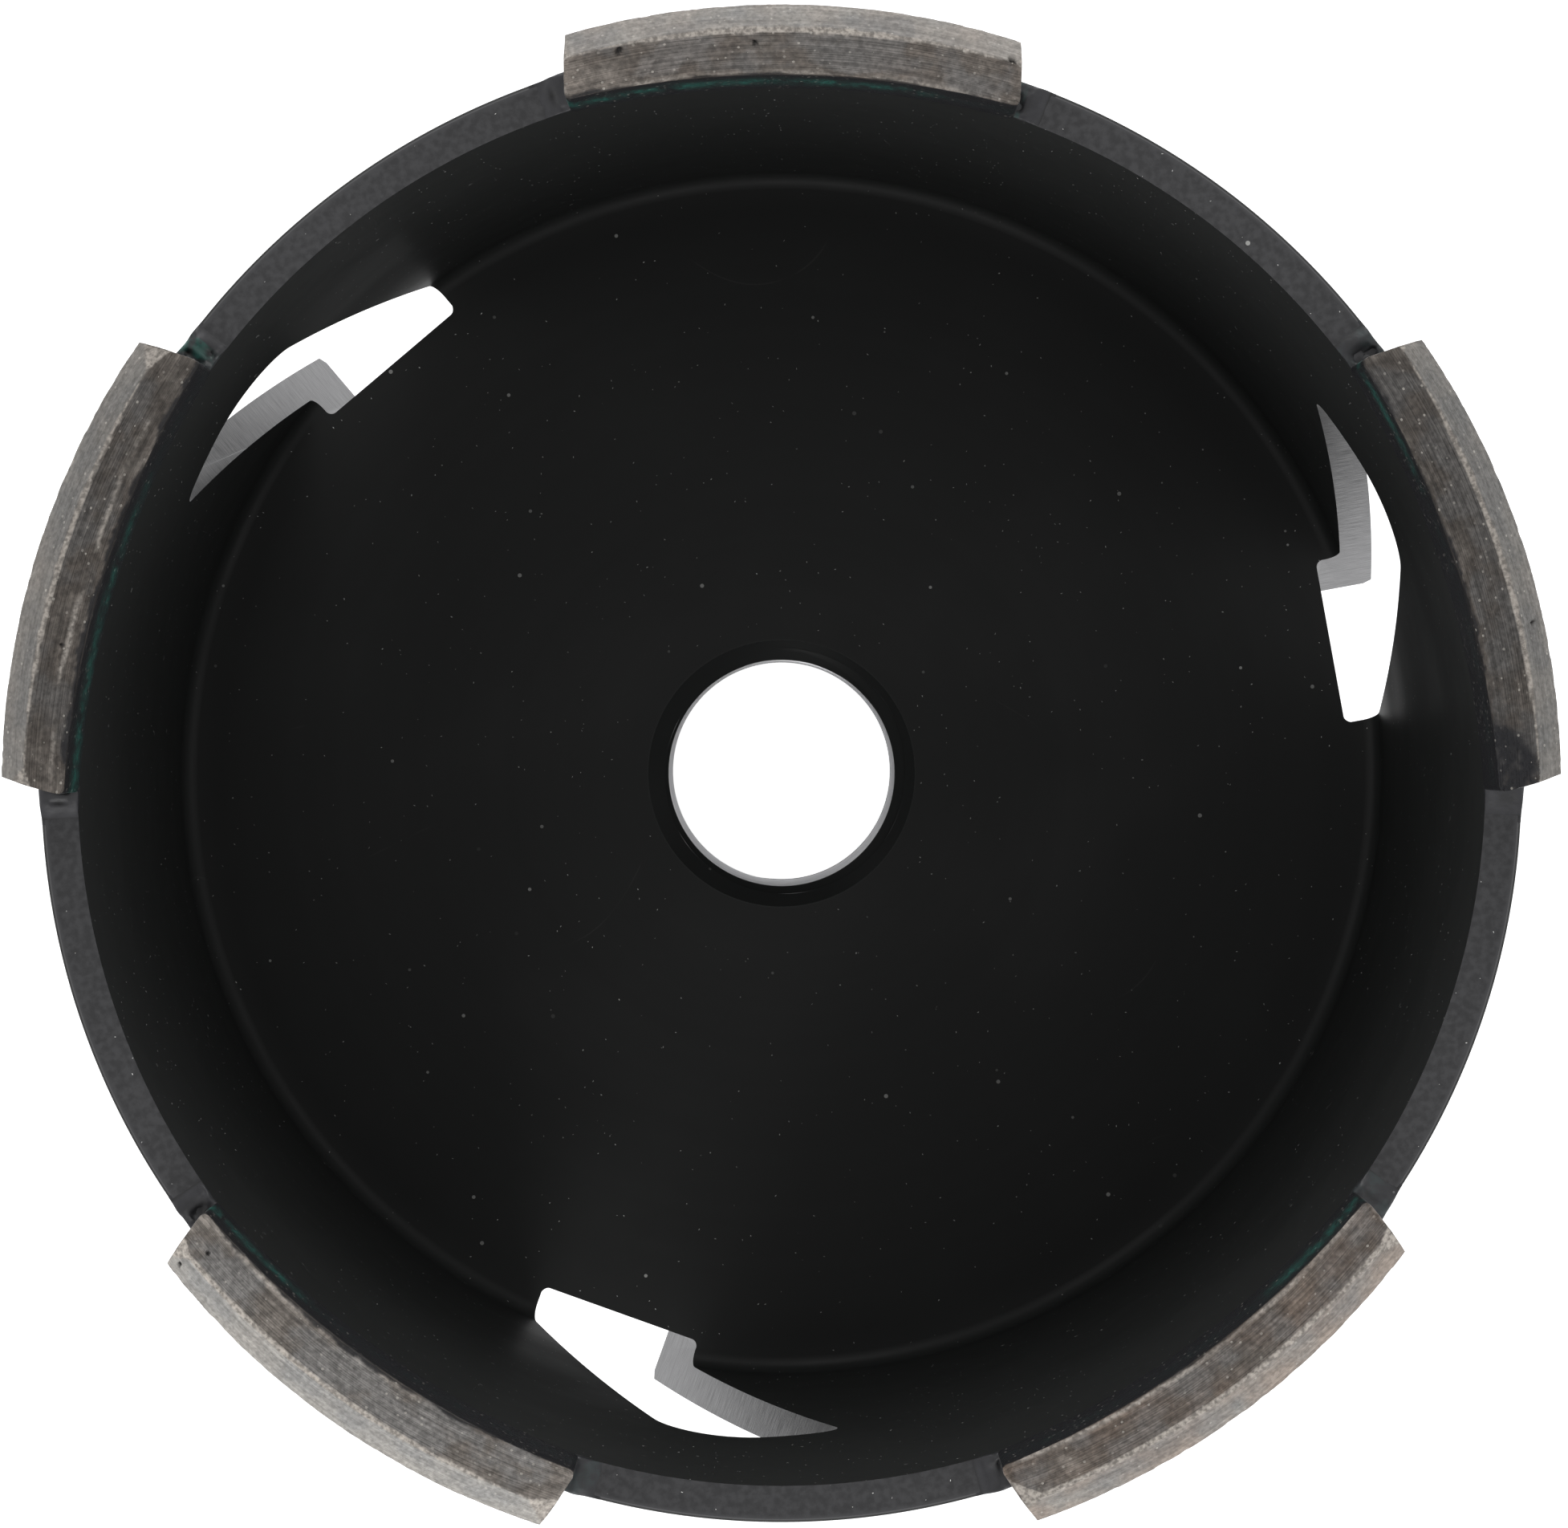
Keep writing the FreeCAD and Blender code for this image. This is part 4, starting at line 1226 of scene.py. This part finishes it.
class CORE_BIT_OT_segments(bpy.types.Operator):
    """Makes the five diamond segments, each with its own wear"""
    bl_idname = "core_bit.segments"
    bl_label = "Segments"

    def execute(self, context):
        settings = context.scene.core_bit
        segment = settings.segment
        matrix = material_once("ground_matrix", diamond_matrix, segment, settings.weld)
        foot = Matrix.Translation((0, 0, segment_foot))
        for number, (degrees, wear) in enumerate(zip(SEGMENT_ANGLES, SEGMENT_WEAR), start=1):
            vertices, faces, roof, ridge_place = segment_lattice(segment, settings.cup)
            piece = add_piece(f"worn_segment_{number}", vertices, faces)
            weld_and_face_outwards(piece)
            wear_segment(piece, segment, wear, number * 100, roof, ridge_place)
            piece.data.transform(foot @ Matrix.Rotation(math.radians(degrees), 4, "Z"))
            smooth_by_angle(piece, 38)
            piece.data.materials.append(matrix)
            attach(piece, "root")
            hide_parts(f"segment_{number}")
        return {"FINISHED"}


# Weld seams

# Pits in each run-out: (end, distance past the segment, share across the wall, radius, depth) in millimetres
WELD_PITS = [
    [(1, 0.9, 0.75, 0.22, 0.35), (1, 1.1, 0.35, 0.30, 0.40), (-1, 1.4, 0.6, 0.15, 0.15)],
    [(-1, 0.7, 0.55, 0.28, 0.35), (-1, 1.0, 0.30, 0.22, 0.30), (1, 1.6, 0.5, 0.15, 0.1)],
    [(-1, 0.9, 0.75, 0.2, 0.25), (-1, 1.6, 0.3, 0.25, 0.2), (1, 0.8, 0.3, 0.22, 0.25),
     (1, 1.5, 0.5, 0.12, 0.2)],
    [(-1, 1.0, 0.55, 0.32, 0.35), (-1, 0.6, 0.3, 0.22, 0.25), (1, 1.5, 0.4, 0.12, 0.12)],
    [(-1, 0.9, 0.35, 0.26, 0.35), (-1, 0.5, 0.7, 0.2, 0.25), (1, 1.2, 0.4, 0.12, 0.12)],
]
# how much each run-out swells: clockwise, anticlockwise
WELD_SWELL = [(0.15, 1.0), (0.9, 0.6), (1.2, 0.6), (1.0, 0.6), (0.9, 0.8)]
# the teal coat on each weld: end, strength and reach past the segment in millimetres
WELD_TEAL = [(1, 0.1, 9.0), (-1, 0.35, 1.2), (-1, 1.0, 1.9), (1, 0.1, 9.0), (1, 0.1, 9.0)]
WELD_ROWS = 321
WELD_FACES_ROUND = 48
# 1 makes the bead's section round, and less makes it squarer
SECTION_POWER = 0.45
WELD_DEPTH = 0.5 * MM


def weld_bead(settings, number, degrees):
    # a closed bead along the rim, lumpy and wider where it runs out past the segment
    weld = settings.weld
    cup = settings.cup
    segment = settings.segment
    half_turn = math.asin(segment.half_length / segment.outer_radius)
    past = weld.runout / cup.radius
    turn = np.linspace(-half_turn - past, half_turn + past, WELD_ROWS)
    section = np.linspace(0, 2 * math.pi, WELD_FACES_ROUND, endpoint=False)
    middle = cup.radius - cup.wall / 2
    grid_turn, grid_section = np.meshgrid(turn, section, indexing="ij")
    parts = (np.cos(grid_section), np.sin(grid_section))
    side, up = (np.sign(part) * np.abs(part) ** SECTION_POWER for part in parts)
    beyond = (np.abs(grid_turn) - half_turn) * cup.radius
    swell = np.where(grid_turn < 0, WELD_SWELL[number - 1][0], WELD_SWELL[number - 1][1])
    free = ease(beyond, 0.0, 0.5 * MM) * swell
    fade = 1 - ease(beyond, weld.runout - (2.5 - 1.2 * swell) * MM, weld.runout)
    run = grid_turn * cup.radius
    half_run = half_turn * cup.radius
    sites = np.column_stack([run.ravel(), side.ravel() * MM, up.ravel() * 0.4 * MM])
    shape = grid_turn.shape
    lumps = rough(sites, 1.1 * MM, number * 7).reshape(shape)
    swells = cloud(sites * [1, 0.2, 0.2], 2.2 * MM, number * 13).reshape(shape)
    bulge = 0.55 - 0.30 * free + 0.45 * free * swells
    half_width = cup.wall / 2 + (weld.overhang * bulge + 0.05 * MM * lumps) * fade - 0.02 * MM * (1 - fade)
    radius = middle + side * half_width
    top = weld.height * fade - 0.03 * MM * (1 - fade)
    top = top + free * fade * (0.26 * MM * lumps + 0.16 * MM * swells - 0.10 * MM)
    level = np.where(up > 0, top, WELD_DEPTH) * up
    # the pits mask: 1 in each pit's hollow, where the weld's material paints shade black, with a softer halo
    # round it
    pits = np.zeros(shape)
    for end, distance, share_across, pit_radius, depth in WELD_PITS[number - 1]:
        gap_along = end * run - half_run - distance * MM
        gap_across = side * cup.wall / 2 - (share_across - 0.5) * cup.wall
        gap = np.hypot(gap_along, gap_across) / (pit_radius * MM * (1 + 0.35 * lumps))
        hollow = np.exp(-gap ** 4) * (up > 0)
        level = level - hollow * depth * MM
        pits = np.maximum.reduce([pits, hollow, np.exp(-(gap / 2.4) ** 2) * 0.75])
    # a thin dark line where the weld runs out on the rim
    end_line = np.exp(-((beyond - weld.runout + 0.25 * MM + 0.08 * MM * lumps) / (0.09 * MM)) ** 2)
    pits = np.maximum(pits, np.clip(end_line * (0.8 + 0.6 * swells), 0, 1))
    x = radius * np.cos(grid_turn)
    y = radius * np.sin(grid_turn)
    vertices = np.stack([x, y, level + cup.rim_level], axis=-1).reshape(-1, 3)
    rows, columns = shape
    faces = [tuple(range(columns)), tuple(range((rows - 1) * columns, rows * columns))]
    for here in range(0, (rows - 1) * columns, columns):
        there = here + columns
        for column in range(columns):
            after = (column + 1) % columns
            faces.append((here + column, here + after, there + after, there + column))
    piece = add_piece(f"run_out_weld_{number}", vertices, faces)
    write_mask(piece.data, "pits", pits.ravel())
    end, strength, reach = WELD_TEAL[number - 1]
    greened = strength * ease(end * run, half_run - 0.3 * MM, half_run) * (beyond < reach * MM)
    write_mask(piece.data, "greened", greened.ravel())
    edit_mesh(piece, lambda grid: bmesh.ops.recalc_face_normals(grid, faces=grid.faces))
    piece.data.transform(Matrix.Rotation(math.radians(degrees), 4, "Z"))
    smooth_by_angle(piece, 60)
    return piece


class CORE_BIT_OT_weld_seams(bpy.types.Operator):
    """Makes the weld under each segment, which runs out in pitted lumps on the rim"""
    bl_idname = "core_bit.weld_seams"
    bl_label = "Weld seams"

    def execute(self, context):
        settings = context.scene.core_bit
        metal = material_once("blackened_weld", weld_metal, settings.weld)
        for number, degrees in enumerate(SEGMENT_ANGLES, start=1):
            piece = weld_bead(settings, number, degrees)
            piece.data.materials.append(metal)
            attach(piece, "root")
            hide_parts(f"weld_seam_{number}")
        return {"FINISHED"}


# Dust

# smallest and largest grain, long, wide and high, in usual widths
GRAIN_SIZES = ((0.5, 0.45, 0.25), (4.2, 1.5, 0.5))


def build_dust_tree(name):
    # small flattened grains scattered over the mesh and lying on it
    kinds = {"Specks": "Float", "Size": "Float", "Seed": "Int", "Material": "Material"}
    tree, given = geometry_tree(name, kinds)

    def draw(kind, low, high, first):
        inputs = {"Seed": given["Seed"], first: low, first + 1: high}
        return add_node(tree, "FunctionNodeRandomValue", inputs, data_type=kind).outputs[first // 2]

    inputs = {"Mesh": given["Geometry"], "Density": given["Specks"], "Seed": given["Seed"]}
    spots = add_node(tree, "GeometryNodeDistributePointsOnFaces", inputs).outputs
    grain = add_node(tree, "GeometryNodeMeshIcoSphere", {"Radius": 0.5, "Subdivisions": 1})
    size = draw("FLOAT_VECTOR", *GRAIN_SIZES, 0)
    scale = vector_math(tree, "SCALE", {0: size, 3: given["Size"]}).outputs[0]
    about = join_place(tree, z=draw("FLOAT", -math.pi, math.pi, 2))
    inputs = {"Rotation": spots["Rotation"], "Rotate By": about}
    turned_spot = add_node(tree, "FunctionNodeRotateRotation", inputs, rotation_space="LOCAL")
    copies = add_node(tree, "GeometryNodeInstanceOnPoints", {
        "Points": spots["Points"], "Instance": grain.outputs["Mesh"],
        "Rotation": turned_spot.outputs[0], "Scale": scale})
    return realized(tree, copies.outputs[0], given["Material"])


class CORE_BIT_OT_dust(bpy.types.Operator):
    """Scatters pale grains of stone dust inside the cup and on its rim"""
    bl_idname = "core_bit.dust"
    bl_label = "Dust"

    def execute(self, context):
        settings = context.scene.core_bit
        cup = settings.cup
        source = bpy.data.objects.get("dressed_cup_body")
        if source is None:
            raise RuntimeError("the dust lies on the cup body, so that is made first")
        piece = bpy.data.objects.new("settled_dust", source.data.copy())
        context.scene.collection.objects.link(piece)

        def keep_dusty_faces(grid):
            def dusty(face):
                centre = face.calc_center_median()
                inside = centre.xy.length < cup.radius and centre.z > cup.floor_level - 0.1 * MM
                outwards = face.normal.xy.dot(centre.xy) > 0.3 * centre.xy.length
                return inside and not outwards and face.normal.z > -0.1 and face.material_index == 0
            spare = [face for face in grid.faces if not dusty(face)]
            bmesh.ops.delete(grid, geom=spare, context="FACES")

        edit_mesh(piece, keep_dusty_faces)
        run_nodes(piece, build_dust_tree("scattered_grains"), {
            "Specks": settings.dust.per_area,
            "Size": settings.dust.size,
            "Seed": settings.dust.seed,
            "Material": material_once("stone_dust", stone_dust, settings.dust),
        })
        if not piece.data.polygons:
            raise RuntimeError("no dust was scattered")
        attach(piece, "root")
        return {"FINISHED"}


# Stage

# image right and up in the bit's frame, from the first window's place in the photograph
IMAGE_TURN = math.radians(10.3)
CAMERA_ASIDE = 0.03 * MM
CAMERA_ABOVE = 3.46 * MM
AIM_RIGHT = 0.000386
AIM_UP = -0.008536
# the soft boxes: width, distance from the axis and height, and the point that they face
BOX_WIDTH = 0.40
BOX_ASIDE = 0.65
BOX_ABOVE = 0.40
BOX_AIM = Vector((0, 0, 0.05))
# the floor lies a little under the hub's back, so that the two don't share a plane
FLOOR_DROP = 0.02 * MM


class CORE_BIT_OT_stage(bpy.types.Operator):
    """Lays the pale floor, sets the soft light and places the camera over the cup's mouth"""
    bl_idname = "core_bit.stage"
    bl_label = "Stage"

    def execute(self, context):
        scene = context.scene
        stage = scene.core_bit.stage
        half = stage.floor_width / 2
        corners = ((-half, -half), (half, -half), (half, half), (-half, half))
        floor = add_piece("floor", [(x, y, -FLOOR_DROP) for x, y in corners], [(0, 1, 2, 3)])
        floor.data.materials.append(material_once("pale_floor", pale_floor, stage))

        sky = bpy.data.worlds.new("soft_light")
        sky.use_nodes = True
        background = sky.node_tree.nodes["Background"]
        background.inputs["Color"].default_value = (1.0, 1.0, 1.0, 1.0)
        background.inputs["Strength"].default_value = stage.sky
        scene.world = sky

        for number in range(4):
            turn = -IMAGE_TURN + math.radians(90 * number)
            box = bpy.data.lights.new("soft_box", "AREA")
            box.size = BOX_WIDTH
            box.energy = stage.long_box if number % 2 else stage.side_box
            lamp = bpy.data.objects.new("soft_box", box)
            lamp.location = (BOX_ASIDE * math.cos(turn), BOX_ASIDE * math.sin(turn), BOX_ABOVE)
            aim = BOX_AIM - lamp.location
            lamp.rotation_euler = aim.to_track_quat("-Z", "Y").to_euler()
            scene.collection.objects.link(lamp)

        right = Vector((math.cos(IMAGE_TURN), -math.sin(IMAGE_TURN), 0))
        up = Vector((math.sin(IMAGE_TURN), math.cos(IMAGE_TURN), 0))
        eye = right * CAMERA_ASIDE + up * CAMERA_ABOVE + Vector((0, 0, stage.camera_height))
        forward = (Vector((0, 0, -1)) + right * AIM_RIGHT + up * AIM_UP).normalized()
        side = forward.cross(up).normalized()
        top = side.cross(forward)
        turn = Matrix((side, top, -forward)).transposed()
        lens = bpy.data.cameras.new("camera")
        lens.lens = stage.lens
        lens.sensor_width = 36.0
        lens.sensor_fit = "HORIZONTAL"
        lens.clip_start = 0.01
        camera = bpy.data.objects.new("camera", lens)
        camera.matrix_world = Matrix.Translation(eye) @ turn.to_4x4()
        scene.collection.objects.link(camera)
        scene.camera = camera
        scene.view_settings.view_transform = "Standard"
        return {"FINISHED"}


class CORE_BIT_PT_build(bpy.types.Panel):
    """Lists the pieces in the order in which they are made"""
    bl_idname = "CORE_BIT_PT_build"
    bl_label = "Core bit"
    bl_space_type = "VIEW_3D"
    bl_region_type = "UI"
    bl_category = "Core bit"

    def draw(self, context):
        for step in STEPS:
            self.layout.operator(step.bl_idname)


STEPS = (
    CORE_BIT_OT_stage,
    CORE_BIT_OT_cup_body,
    CORE_BIT_OT_arbor_thread,
    CORE_BIT_OT_weld_seams,
    CORE_BIT_OT_segments,
    CORE_BIT_OT_dust,
)
CLASSES = (
    CupSettings,
    WindowSettings,
    ThreadSettings,
    SegmentSettings,
    WeldSettings,
    DustSettings,
    StageSettings,
    BitSettings,
    *STEPS,
    CORE_BIT_PT_build,
)


def register():
    for item in CLASSES:
        bpy.utils.register_class(item)
    bpy.types.Scene.core_bit = PointerProperty(type=BitSettings)


def unregister():
    del bpy.types.Scene.core_bit
    for item in reversed(CLASSES):
        bpy.utils.unregister_class(item)


def main():
    register()
    bpy.ops.core_bit.stage()
    bpy.ops.core_bit.cup_body()
    bpy.ops.core_bit.arbor_thread()
    bpy.ops.core_bit.weld_seams()
    bpy.ops.core_bit.segments()
    bpy.ops.core_bit.dust()


if __name__ == "__main__":
    main()
